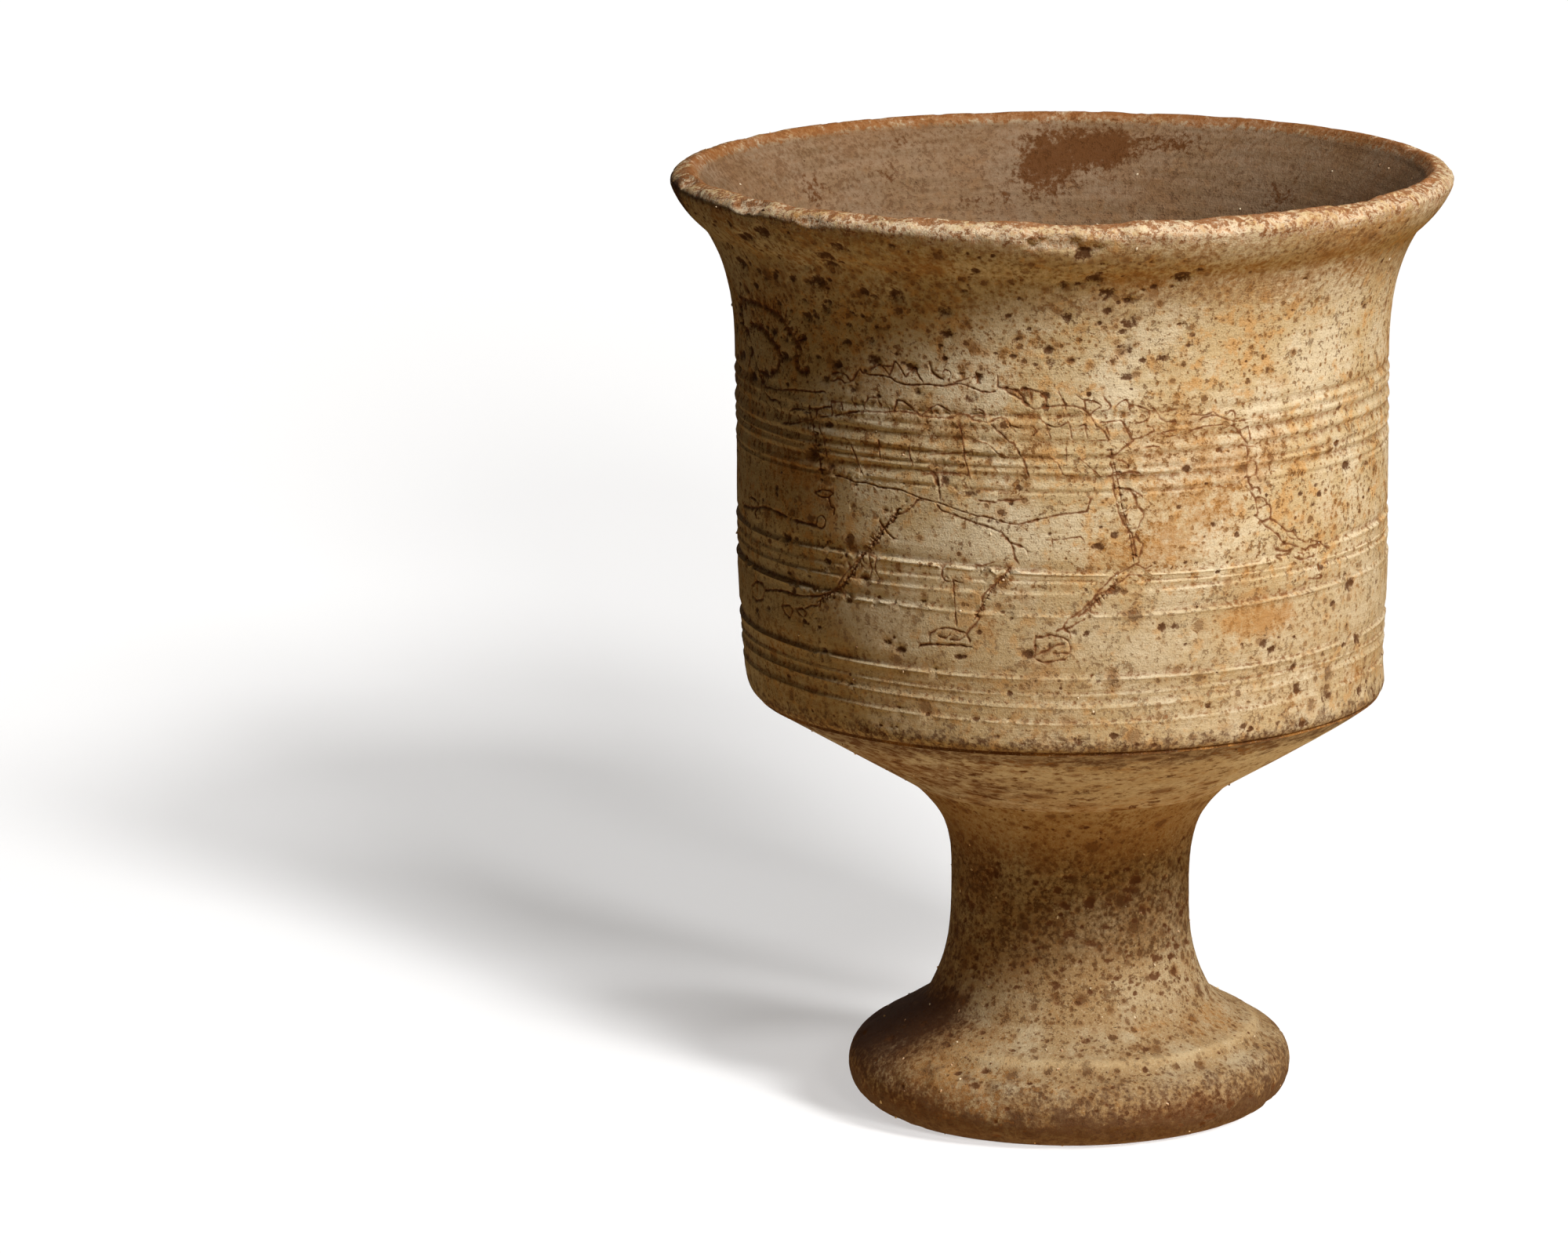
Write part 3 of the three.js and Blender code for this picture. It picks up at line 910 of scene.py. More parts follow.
def outside(low, high):
    """The wiped outside of foot, stem, collar and cone between two heights."""
    inner = wiped[(wiped[:, 1] > low + 0.1 * MM) & (wiped[:, 1] < high - 0.1 * MM)]
    ends = [(float(np.interp(z, wiped[:, 1], wiped[:, 0])), z) for z in (low, high)]
    return [ends[0], *map(tuple, inner), ends[1]]


# Pits are told by a seed, how many, the runs they lie between and their least and
# largest size, and grit by the stones on a square metre, their least gap, size and seed.
# What is told of the ledge and the worn edge without MM is in mm or is a share.
FOOT_PITS = ((11, 230, 3 * MM, 46 * MM, 0.4 * MM, 1.3 * MM),)
FOOT_GRIT = (9000, 3 * MM, 0.55 * MM, 5)
FOOT_ROW_GAP = 1.1 * MM
FOOT_POINT_GAP = 1.5 * MM
LEDGE_HEIGHT = 18 * MM
LEDGE_ROW_GAP = 0.45 * MM
LEDGE_REACH = 3 * MM
LEDGE_LIT_SIDE = math.radians(35)
LEDGE_SWAY = 1.2
LEDGE_LIFT = 0.6
LEDGE_HALF_WIDTH = 1.8
GULLY_BELOW_LEDGE = 3.4
GULLY_HALF_WIDTH = 2
EDGE_BEGINS = (2 * MM, 5 * MM)
EDGE_ENDS = (20 * MM, 27 * MM)
EDGE_WEAR = 0.55
# Darker patches, told as for stain_mask, on the foot, stem and slip: those on their left side are painted
# shade.
SHADE_AND_DIRT_PATCHES = (
    (-80, 16, 22, 8, 1.0), (-62, 23, 10, 5, 0.6), (-112, 18, 26, 9, 0.9), (-44, 9, 12, 3, 0.6),
    (30, 9, 14, 2.5, 0.6), (-70, 34, 14, 12, 0.35),
)
FOOT_STAINS = ((-48, 18, 20, 12, 0.5), (-20, 12, 26, 8, 0.45), (30, 24, 10, 4, 0.4), (70, 22, 14, 6, 0.6))
bore_top = (stem_high.x - STEM_FOOT_WALL, foot_high.z)
seat_inside = (edge_centre[0] - FOOT_SEAT_WIDTH, 0)
foot_outside = outside(0, foot_high.z)
foot_outline = Outline([
    *foot_outside, bore_top, *bend(bore_top, seat_inside, FOOT_HOLLOW_SHARES), foot_outside[0],
])
ledge_run = foot_outline.runs[np.argmax(foot_outline.points[:, 1] > LEDGE_HEIGHT)]
foot_rows = [row for row in foot_outline.rows(FOOT_ROW_GAP) if abs(row - ledge_run) > LEDGE_REACH]
foot_rows += [ledge_run + step * LEDGE_ROW_GAP for step in range(-6, 7)]
sheet, depth, pit = pitted_sheet(foot_outline, sorted(foot_rows), FOOT_POINT_GAP, FOOT_PITS)
turns, runs, _ = sheet
on_edge = (1 - ramp(runs, *EDGE_ENDS)) * ramp(runs, *EDGE_BEGINS)
coarse, fine = (worn_noise(foot_outline, turns, runs, size * MM) for size in (5, 2.2))
lift = -depth - on_edge * ramp(coarse + 0.5 * fine, 0.05, 0.7) * EDGE_WEAR * MM
from_ledge = (runs - ledge_run) / MM + LEDGE_SWAY * np.sin(2 * np.pi * turns + 0.6)
# The ledge's ridge, the gully below it and the ridge's pale mark fade away from the side that the key lamp
# lights; the pale mark is a painted highlight.
toward_lit_side = ramp(np.cos(2 * np.pi * turns - LEDGE_LIT_SIDE), -0.2, 0.8)
ledge = np.exp(-(from_ledge / LEDGE_HALF_WIDTH) ** 2) * toward_lit_side
gully = np.exp(-((from_ledge + GULLY_BELOW_LEDGE) / GULLY_HALF_WIDTH) ** 2)
lift += (LEDGE_LIFT * ledge - LEDGE_LIFT * gully * toward_lit_side) * MM
foot_clay = clay("foot_clay", PEDESTAL_TONES, PEDESTAL_ZONES)
masks = {
    "pit": pit, "ledge": ledge,
    "stain": stain_mask(FOOT_STAINS, foot_outline, turns, runs),
    "dirt": stain_mask(SHADE_AND_DIRT_PATCHES, foot_outline, turns, runs),
}
foot = throw("thrown_foot", foot_outline, sheet, lift, masks, foot_clay)
foot = set_grit(foot, *FOOT_GRIT)
finish_piece(foot, "foot", "worn_clay", pedestal)


# The stem is a hollow tube drawn up on the wheel, narrowest at its waist. Its top
# is cut back to a neck, which the collar clasps. Its skin is pitted and densely specked,
# and darkened with painted shade: a band under the bowl and patches on its left side.
COLLAR_WALL = 3.5 * MM
COLLAR_CLEARANCE = 0.3 * MM
STEM_NECK_WALL = 9.3 * MM
STEM_ROW_GAP = 1.1 * MM
STEM_POINT_GAP = 1.4 * MM
STEM_GRIT = (9000, 3 * MM, 0.5 * MM, 6)
STEM_PITS = (
    (12, 340, 1.5 * MM, 38 * MM, 0.35 * MM, 1.0 * MM), (21, 130, 8 * MM, 34 * MM, 0.7 * MM, 1.6 * MM),
)
collar_bore = STEM_SHOULDER_RADIUS - COLLAR_WALL
neck_radius = collar_bore - COLLAR_CLEARANCE
stem_bore_top = neck_radius - STEM_NECK_WALL
stem_outside = outside(stem_low.z, collar_low.z)
stem_outline = Outline([
    *stem_outside, (neck_radius, collar_low.z), (neck_radius, stem_high.z), (stem_bore_top, stem_high.z),
    *swell(stem_bore_top, bore_top[0], stem_high.z, stem_low.z, 0, 1), stem_outside[0],
])
sheet, depth, pit = pitted_sheet(stem_outline, stem_outline.rows(STEM_ROW_GAP), STEM_POINT_GAP, STEM_PITS)
stem_clay = clay("stem_clay", {**PEDESTAL_TONES, "Speck Share": 0.6, "Spot Share": 1.0}, PEDESTAL_ZONES)
masks = {"pit": pit, "dirt": stain_mask(SHADE_AND_DIRT_PATCHES, stem_outline, *sheet[:2])}
stem = throw("thrown_stem", stem_outline, sheet, -depth, masks, stem_clay)
stem = set_grit(stem, *STEM_GRIT)
finish_piece(stem, "stem", "clay", pedestal)


# The collar is a coil of soft clay pressed round the joint of stem and bowl, and
# smoothed up on to the cone with the fingers.
COLLAR_ROW_GAP = 1.0 * MM
COLLAR_POINT_GAP = 1.4 * MM
COLLAR_PITS = ((13, 80, 1 * MM, 12 * MM, 0.35 * MM, 0.8 * MM),)
collar_outside = outside(collar_low.z, collar_high.z)
collar_outline = Outline([
    *collar_outside, (collar_bore, collar_high.z), (collar_bore, collar_low.z), collar_outside[0],
])
collar_rows = collar_outline.rows(COLLAR_ROW_GAP)
sheet, depth, pit = pitted_sheet(collar_outline, collar_rows, COLLAR_POINT_GAP, COLLAR_PITS)
collar_clay = clay("collar_clay", PEDESTAL_TONES, PEDESTAL_ZONES)
collar = throw("pressed_collar", collar_outline, sheet, -depth, {"pit": pit}, collar_clay)
finish_piece(collar, "stem_collar", "clay")


# The bottom of the bowl is a wide cone of clay, turned smooth outside, with a boss
# under it that sits on the stem. Its inside is the bowl's floor.
SEAM_WIDTH = 13 * MM
FLOOR_THICKNESS = 13 * MM
FLOOR_SHARES = (0.55, 1)
FLOOR_SIDE_REACH = 1.5 * MM
BASE_ROW_GAP = 1.2 * MM
BASE_POINT_GAP = 1.9 * MM
BASE_GRIT = (3500, 4 * MM, 0.45 * MM, 7)
BASE_TONES = {
    **PEDESTAL_TONES, "Cream": (0.54, 0.48, 0.40, 1), "Tan": (0.42, 0.33, 0.235, 1), "Stain Share": 0.4,
    "Blotch Share": 0.3, "Speck Share": 0.5, "Spot Share": 0.5, "Grit Share": 0.05,
}
BASE_ZONES = (
    (60 * MM, 73 * MM, 6 * MM, (0.38, 0.20, 0.065, 1), 0.45, 0.6),
    (91.5 * MM, 120 * MM, 3 * MM, (0.105, 0.048, 0.022, 1), 0.85, 0.6),
)
BASE_STRETCH = 0.45
# Patches on the cone, told as for stain_mask: those at 84 and 86 mm, from the front round to its left side,
# are painted shade, and the two near the seam are stains.
BASE_PAINTED_SHADE = ((-62, 84, 42, 13, 0.45), (-25, 84, 16, 10, 0.3))
BASE_STAINS_AND_SHADE = ((-38, 84, 24, 9, 0.7), (-70, 86, 20, 8, 0.5), (-8, 90, 16, 4, 0.4), (35, 91, 14, 3, 0.5))
seam_inside = (base_high.x - SEAM_WIDTH, base_high.z)
floor_centre = (0, base_low.z + FLOOR_THICKNESS)
base_outside = [
    (0, base_low.z), (neck_radius, base_low.z), (neck_radius, collar_high.z),
    *outside(collar_high.z, base_high.z), seam_inside,
]
floor_run = Outline(base_outside).length
base_outline = Outline([*base_outside, *bend(seam_inside, floor_centre, FLOOR_SHARES)])
cone_run = neck_radius + (collar_high.z - base_low.z) + (cone_start[0] - neck_radius)
base_pits = ((14, 240, cone_run + MM, cone_run + 38 * MM, 0.35 * MM, 1.0 * MM, 1.4),)
sheet, depth, pit = pitted_sheet(base_outline, base_outline.rows(BASE_ROW_GAP), BASE_POINT_GAP, base_pits)
turns, runs, _ = sheet
base_clay = clay("base_clay", BASE_TONES, BASE_ZONES, BASE_STRETCH)
floor_side = ramp(runs, floor_run - FLOOR_SIDE_REACH, floor_run)
masks = {
    "pit": pit, "inside": floor_side,
    "stain": (1 - floor_side) * stain_mask(BASE_STAINS_AND_SHADE, base_outline, turns, runs),
    "dirt": (1 - floor_side) * stain_mask(BASE_PAINTED_SHADE, base_outline, turns, runs),
}
base = throw("bowl_bottom", base_outline, sheet, -depth, masks, base_clay)
base = set_grit(base, *BASE_GRIT)
finish_piece(base, "bowl_base", "clay", bowl)


# Three thin layers of slip glue the pieces. The one under the wall is dark where it
# shows, as a line round the vessel, and the two others are hidden in smoothed joints.
SLIP_GAP = 1.5 * MM


def slip_layer(name, node, inner_radius, outer, material):
    """A finished layer of slip, from its inner radius to the given points outside."""
    low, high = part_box(node)
    corner = (inner_radius, low.z)
    outline = Outline([corner, *outer, (inner_radius, high.z), corner])
    sheet = flat_sheet(outline, outline.rows(SLIP_GAP), SLIP_GAP)
    # The foot's and stem's patches of painted shade carry on over the slip.
    masks = {"dirt": stain_mask(SHADE_AND_DIRT_PATCHES, outline, *sheet[:2])}
    piece = throw(name, outline, sheet, np.zeros(len(sheet[0])), masks, material)
    finish_piece(piece, node, "slip")


slip_clay = clay("slip_clay", {**PEDESTAL_TONES, "Cream": STAIN, "Tan": BROWN})
hidden_slip = clay("wiped_slip", PEDESTAL_TONES, PEDESTAL_ZONES)
wall_low, wall_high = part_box("bowl_wall")
slip_layer("slip_under_wall", "seam_slip", seam_inside[0], [cone_end, (cone_end[0], wall_low.z)], slip_clay)
slip_layer("slip_on_foot", "foot_slip", bore_top[0], outside(foot_high.z, stem_low.z), hidden_slip)
neck_side = [(neck_radius, stem_high.z), (neck_radius, base_low.z)]
slip_layer("slip_on_stem", "stem_slip", stem_bore_top, neck_side, slip_clay)


# The wall is a cylinder drawn up on the wheel, with a flared lip. Three bands of
# grooves were turned in it, and the animal was cut in by hand when it was leather hard.
WALL_RADIUS = 71.5 * MM
WALL_THICKNESS = 5.4 * MM
WALL_FOOT_STEP = 0.4 * MM
SHOULDER_HEIGHT = 2.4 * MM
SHOULDER_INSET = 1.1 * MM
BELLY_HEIGHT = 27.6 * MM
FLARE_HEIGHT = 40.3 * MM
LIP_THICKNESS = 7.4 * MM
LIP_FACE_HEIGHT = 12.6 * MM
LIP_BULGE_DROP = 3.0 * MM
LIP_TOP_WIDTH = 4.0 * MM
LIP_RIDGE_WIDTH = 5.3 * MM
LIP_RIDGE_DROP = 0.8 * MM
LIP_FACE_SHARES = (0.73, 0.44)
LIP_TOP_SHARES = (0.04, 0.78)
LIP_RIDGE_SHARES = (0.65, 0.05)
FILLET_HEIGHT = 11.6 * MM
ROUNDING_SHARES = (0.85, 0.15)
wall_bottom = wall_low.z
lip_radius = wall_high.x
flare_end = wall_high.z - LIP_THICKNESS / 2
flare_start = flare_end - FLARE_HEIGHT
lip_face_bottom = wall_high.z - LIP_FACE_HEIGHT
lip_face_share = (lip_face_bottom - flare_start) / FLARE_HEIGHT
lip_bulge = (lip_radius, wall_high.z - LIP_BULGE_DROP)
lip_top = (lip_radius - LIP_TOP_WIDTH, wall_high.z)
lip_ridge = (lip_radius - LIP_RIDGE_WIDTH, wall_high.z - LIP_RIDGE_DROP)
flare_line = swell(WALL_RADIUS, lip_radius, flare_start, lip_face_bottom, 0, lip_face_share)
inner_radius = WALL_RADIUS - WALL_THICKNESS
wall_foot = (base_high.x + WALL_FOOT_STEP, wall_bottom)
shoulder = (WALL_RADIUS - SHOULDER_INSET, wall_bottom + SHOULDER_HEIGHT)
fillet_top = (inner_radius, wall_bottom + FILLET_HEIGHT)
wall_inside = (seam_inside[0], wall_bottom)
wall_outline = Outline([
    wall_foot, *bend(wall_foot, shoulder, ROUNDING_SHARES),
    (WALL_RADIUS, wall_bottom + BELLY_HEIGHT), (WALL_RADIUS, flare_start),
    *flare_line, *bend(flare_line[-1], lip_bulge, LIP_FACE_SHARES),
    *bend(lip_bulge, lip_top, LIP_TOP_SHARES), *bend(lip_top, lip_ridge, LIP_RIDGE_SHARES),
    (lip_radius - LIP_THICKNESS, flare_end),
    *swell(inner_radius, lip_radius - LIP_THICKNESS, flare_end, flare_start, 1, 0),
    fillet_top, *bend(fillet_top, wall_inside, ROUNDING_SHARES[::-1]), wall_foot,
])
lip_top_run = float(wall_outline.runs[np.argmax(wall_outline.points[:, 1])])


def wall_run(height):
    """Run along the wall's outside at a height above the floor."""
    outer = wall_outline.runs <= lip_top_run
    return float(np.interp(height, wall_outline.points[outer, 1], wall_outline.runs[outer]))


# The turned grooves, in mm: heights above the floor at five places round the front,
# depth, and the reach of the slope above and below the deepest line.
GROOVE_ANGLES = (-60, -30, 0, 30, 60)
GROOVES = (
    ((103.0, 102.1, 101.2, 101.8, 102.4), 0.34, 2.2, 0.5),
    ((106.5, 105.8, 104.9, 105.7, 106.7), 0.44, 2.0, 0.5),
    ((109.0, 108.2, 107.6, 108.3, 108.7), 0.22, 0.9, 0.5),
    ((112.1, 111.5, 111.2, 111.1, 111.7), 0.52, 2.7, 0.45),
    ((125.8, 125.5, 124.7, 125.0, 125.6), 0.62, 2.6, 0.5),
    ((129.4, 129.6, 129.6, 130.1, 130.2), 0.36, 1.2, 0.5),
    ((131.9, 132.0, 131.9, 131.5, 131.5), 0.18, 0.7, 0.4),
    ((134.4, 135.2, 133.7, 133.2, 134.7), 0.55, 2.2, 0.5),
    ((151.0, 151.3, 150.9, 150.8, 150.8), 0.20, 0.7, 0.5),
    ((154.2, 154.4, 154.2, 154.0, 153.9), 0.48, 0.8, 1.8),
    ((156.4, 156.1, 156.0, 155.9, 155.8), 0.26, 0.8, 0.7),
    ((158.3, 158.5, 158.2, 158.9, 159.3), 0.44, 0.9, 1.5),
    ((161.9, 161.9, 161.7, 162.5, 162.9), 0.52, 0.9, 1.9),
    ((164.6, 164.2, 164.4, 164.8, 165.1), 0.22, 0.8, 0.7),
    ((167.4, 167.1, 167.3, 167.8, 168.1), 0.46, 0.8, 1.5),
)
GROOVE_ROWS = (-1.7, -1.25, -0.9, 0, 0.35, 1.0)
GROOVE_REACH = 1.7
RIDGE_SHARE = 0.35
RIDGE_AT = 1.25
RIDGE_WIDTH = 0.25
GROOVES_FROM = 98 * MM
STILL_ABOVE = 178 * MM
BACK_ANGLES = (110, 180)


def through(places, values, wanted):
    """A smooth curve through values at places, read where it is wanted."""
    places, values = np.asarray(places, float), np.asarray(values, float)
    slopes = np.gradient(values, places)
    part = np.clip(np.searchsorted(places, wanted) - 1, 0, len(places) - 2)
    gap = places[part + 1] - places[part]
    t = (wanted - places[part]) / gap
    return (
        values[part] * (2 * t ** 3 - 3 * t ** 2 + 1) + values[part + 1] * (3 * t ** 2 - 2 * t ** 3)
        + slopes[part] * gap * (t ** 3 - 2 * t ** 2 + t) + slopes[part + 1] * gap * (t ** 3 - t ** 2)
    )


def level(groove):
    """A groove's mean height, as a run of the wall's outside."""
    return wall_run(sum(groove[0]) / len(groove[0]) * MM)


def wander(turns, runs):
    """How far up the turned grooves, and the clay between them, wander round the wall."""
    angles = np.asarray(turns) * 360
    levels = [wall_run(GROOVES_FROM)]
    shifts = [np.zeros(len(angles))]
    round_angles = (*(-angle for angle in reversed(BACK_ANGLES)), *GROOVE_ANGLES, *BACK_ANGLES)
    for heights, *_ in GROOVES:
        mean = sum(heights) / len(heights)
        drifts = [0, 0, *(h - mean for h in heights), 0, 0]
        levels.append(wall_run(mean * MM))
        shifts.append(through(round_angles, drifts, angles) * MM)
    levels.append(wall_run(STILL_ABOVE))
    shifts.append(np.zeros(len(angles)))
    levels = np.array(levels)
    shifts = np.array(shifts)
    part = np.clip(np.searchsorted(levels, runs) - 1, 0, len(levels) - 2)
    share = np.clip((runs - levels[part]) / (levels[part + 1] - levels[part]), 0, 1)
    every = np.arange(len(angles))
    return between(shifts[part, every], shifts[part + 1, every], share)


# The animal, cut with a point: for each cut its half width and depth in mm, then its
# corners one by one, as degrees round from the front, to the right, and mm above the floor.
CUTS = (
    # back, with its teeth
    (0.24, 0.3, (-42.8, 172.9, -41.8, 173.3, -40.5, 173.4, -39.5, 172.8, -38.9, 171.8, -38.1, 172.4,
        -37.4, 173.9, -36.7, 174.8, -36.2, 174, -34.8, 173.8, -31.4, 173.9, -30.3, 173.6, -29.4, 172.9,
        -27.1, 172.4, -23.2, 172.9, -20.5, 172.8, -17.9, 173.6, -16.6, 173.4, -13.7, 172.1, -12.4, 172,
        -11.3, 172.3)),
    (0.22, 0.25, (-42.9, 171.2, -41.7, 172, -40.8, 171.8, -40.2, 171.2, -38.9, 171.7)),
    (0.32, 0.35, (-34.2, 175.3, -32.4, 176.2)),
    (0.22, 0.25, (-32.4, 176.2, -31.7, 175.6, -30.6, 174.1, -29.6, 177.1, -29.2, 177.2, -27.4, 174,
        -26.4, 175.8, -25.9, 176.2, -25.5, 176.1, -24.8, 174.1, -24.4, 173.8)),
    (0.2, 0.2, (-32.1, 176.1, -30.8, 176, -30, 176.2)),
    (0.34, 0.4, (-22.9, 177.4, -22.6, 176.1, -22, 175.2, -21.2, 174.5, -20.5, 174.3)),
    (0.2, 0.2, (-20.5, 175.7, -20, 176.4, -19.3, 176.2, -19, 175.6, -19.5, 174.3)),
    (0.18, 0.2, (-18.5, 173.7, -16.2, 174.7)),
    (0.22, 0.25, (-14.7, 176.1, -14.4, 175.3, -14.4, 173.9, -13.8, 173.8)),
    (0.24, 0.3, (-10.9, 175.4, -10.8, 173.2)),
    (0.42, 0.45, (-10.8, 173.3, -10, 172.9, -9.2, 173.1, -7.8, 172.6, -6.7, 171.4, -6.4, 170.2,
        -5.8, 169.7)),
    (0.3, 0.35, (-9.7, 172.8, -8.9, 172, -7, 170.8)),
    (0.26, 0.3, (-8, 172.7, -7, 172.6, -6.5, 172.9, -5.4, 172.9, -3.9, 172.5, -2.8, 171.1, -2.7, 169.7,
        -3, 169.1)),
    (0.22, 0.25, (-5.5, 172.7, -5.2, 171.1)),
    (0.24, 0.3, (-6.7, 170, -5.8, 169.3, -4.9, 168.8, -3.9, 168.7, -3, 169.1, -0.5, 169.5, 2, 169.3,
        3.3, 168.9, 4.7, 167.4)),
    (0.22, 0.25, (-0.5, 172.1, 0.6, 169.7, 0.6, 168.7)),
    (0.2, 0.25, (2.8, 171.3, 3.6, 170.5, 3.9, 168.9)),
    (0.2, 0.25, (3.6, 170.5, 4.8, 170.6, 6.7, 169.4, 5.2, 168.1, 4.7, 167.4)),
    (0.22, 0.25, (7.2, 170.8, 7.8, 170, 8.2, 169, 7.7, 168.4, 6.7, 168.1)),
    (0.24, 0.3, (4.7, 167.4, 5.8, 164.9, 6.7, 164.4, 7.9, 162)),
    (0.2, 0.25, (9.1, 169.2, 9.9, 170.1, 10.8, 170.6, 11.3, 169.5, 11.3, 168.3)),
    (0.22, 0.25, (11.3, 169.4, 12.4, 169.2, 14.7, 168.1, 14.9, 166.7, 13.8, 165.7, 12.5, 165.4)),
    (0.34, 0.4, (15.3, 168.6, 15.8, 168.2, 16.8, 166.1, 17.7, 165.4, 19.3, 165.4)),
    (0.2, 0.25, (17.3, 167.5, 19.3, 168)),
    (0.2, 0.25, (6.4, 165.8, 9.6, 166.1, 10.2, 165.7, 11.5, 163.5)),
    # second row, from the neck to the rump
    (0.2, 0.25, (-45.5, 163.2, -42.9, 163.8, -43.1, 165.3, -43.5, 166.7, -41.1, 166.9, -40.7, 165.7)),
    (0.26, 0.3, (-42.5, 163.9, -38.8, 165.1, -35.1, 165.9, -31.7, 166.1, -28.4, 166.7, -26.9, 166.6,
        -24.1, 166, -20.4, 166, -19, 166.1, -18, 166.9, -17, 167.1, -16, 166.9, -15.4, 166, -12.8, 165.6,
        -12, 165.8)),
    (0.18, 0.2, (-38.5, 167.7, -37.9, 166.5, -37.1, 165.8)),
    (0.22, 0.25, (-35.9, 166.2, -35.7, 167.6, -35.1, 168.7, -34.1, 169.1, -33.1, 168.8, -32.6, 167.8,
        -32.3, 166.9)),
    (0.3, 0.35, (-29.8, 166.8, -29.2, 169, -28.3, 169, -27.2, 168.3, -26.2, 167.2, -25.2, 166.5)),
    (0.24, 0.3, (-24.5, 166.3, -22.3, 168.3, -21.5, 168.9, -19.2, 167.4)),
    (0.18, 0.2, (-22.9, 167.9, -22.4, 166.9)),
    (0.2, 0.25, (-15.4, 166.6, -14.4, 167, -13.4, 166.9, -12.8, 165.8)),
    (0.2, 0.2, (-14.4, 168.3, -13.4, 168, -13.1, 167.2)),
    (0.26, 0.3, (-12, 165.8, -11.2, 166.5, -10.2, 166.8, -9.4, 166.5, -8.7, 164.8, -7.9, 163.8)),
    (0.32, 0.4, (-12, 165.2, -11.2, 164.1, -10.4, 163.5, -9, 161.6, -8.3, 161.4)),
    (0.2, 0.25, (-10.2, 166.7, -8.3, 164.9, -7.5, 164.6)),
    (0.24, 0.3, (-8.3, 161.4, -6.5, 157.7, -5.7, 154.3)),
    (0.18, 0.2, (-14.1, 161.4, -12.8, 161.1, -11.9, 160.3, -10.9, 159.1, -9.5, 158.4)),
    (0.18, 0.2, (-17.5, 164.3, -17.2, 162.7, -16.7, 158, -15.9, 154)),
    (0.3, 0.35, (-23, 157.9, -16.1, 159)),
    (0.18, 0.2, (-27, 159.3, -26.8, 157.5, -26.3, 155.5)),
    (0.18, 0.2, (-32.9, 160, -32.7, 156.4)),
    (0.22, 0.25, (-38.7, 157.8, -37.9, 156.1, -36.7, 152.6)),
    (0.2, 0.2, (-45.5, 158.5, -44.7, 156.2, -44.2, 154.3)),
    (0.2, 0.25, (-3.8, 166.8, -2.7, 165.5, -1.4, 164.8, -0.5, 164.9, 1.1, 166, 1.4, 164.5, 1.6, 162.5)),
    (0.18, 0.2, (-2.7, 165.3, -1.9, 162.3)),
    (0.2, 0.2, (-4.9, 164.9, -4.2, 163.9, -4.9, 163.2)),
    (0.22, 0.25, (3.3, 165.3, 3.9, 165.4, 4, 163.7, 4.4, 162, 7.9, 162)),
    (0.2, 0.2, (7.4, 164.8, 8, 162.8)),
    (0.22, 0.25, (9.9, 166.1, 11.8, 162, 13.1, 162.2, 15.7, 163.6, 15.4, 164.4, 14.4, 164.7)),
    (0.2, 0.25, (16.4, 162.8, 17.7, 163.3, 19.4, 163.4)),
    (0.2, 0.2, (16.7, 163, 18, 162.3, 19.2, 162.4)),
    (0.22, 0.25, (12, 161.6, 11.4, 161.3, 9, 159, 8, 158.5)),
    (0.18, 0.2, (14.4, 160.2, 15.4, 160.4, 16.4, 160.1)),
    (0.18, 0.2, (3, 158.1, 6.4, 154.3)),
    (0.2, 0.2, (-1.7, 158.2, -0.8, 157.1, -0.2, 155.9, 0, 154.9)),
    (0.18, 0.2, (0.6, 160.1, 0.7, 158.1)),
    (0.2, 0.25, (8, 156.8, 9.6, 157.6, 10.6, 157.3, 11.2, 156.3)),
    (0.24, 0.3, (8, 154.2, 11.2, 155.1, 13.2, 154.6)),
    (0.28, 0.3, (-23.2, 153.8, -21.5, 154.3, -16.8, 154.4)),
    (0.34, 0.4, (-22.5, 153.9, -21.6, 151.6)),
    # head and neck
    (0.24, 0.3, (-64.5, 167.3, -62.6, 166.5, -58.2, 166.7, -53.5, 167.7, -47.9, 168.2, -44.9, 168.7)),
    (0.34, 0.4, (-69.6, 176.6, -69, 175.2, -69.1, 173.2, -70.1, 170.7, -73.5, 165.4, -74.2, 163.2)),
    (0.26, 0.3, (-68.8, 175.3, -67.6, 172.4, -66.4, 170.3, -65.1, 168.9, -64.5, 167.3, -64.3, 165.3)),
    (0.28, 0.3, (-74.3, 177.3, -75.8, 174.7, -76.2, 171.7, -78.4, 168.9, -78.4, 166.6)),
    (0.26, 0.3, (-65, 169.5, -60.8, 169.2)),
    (0.26, 0.3, (-63.4, 166.4, -62.7, 165.1, -60.7, 164.1, -58.8, 164.4, -57.4, 164.1, -57, 163.1,
        -58, 160.3)),
    (0.24, 0.3, (-62.3, 163.2, -59.4, 161.5, -58.5, 160.5)),
    (0.24, 0.3, (-56.2, 159.9, -55, 160.2, -54.5, 162.8, -53.3, 163.6, -51.7, 163.9, -50.4, 163.9)),
    (0.24, 0.3, (-55, 160.1, -53.4, 160.3, -47.8, 162.2)),
    (0.24, 0.25, (-51.8, 162.3, -51.4, 161.6)),
    (0.26, 0.3, (-48.8, 164.6, -47.4, 164.5, -43.4, 165.7)),
    (0.24, 0.25, (-46.9, 164.5, -47, 162.6)),
    (0.28, 0.3, (-50, 161.5, -49.3, 161.1, -49.2, 160)),
    (0.24, 0.3, (-46.5, 162.1, -46.2, 160.5, -45.2, 158.7, -44.8, 156.8, -44.6, 154.5)),
    (0.26, 0.3, (-43.4, 166.9, -40.9, 167, -40.7, 165.6)),
    (0.24, 0.3, (-42.2, 164, -39.8, 164.9, -37.2, 165.5)),
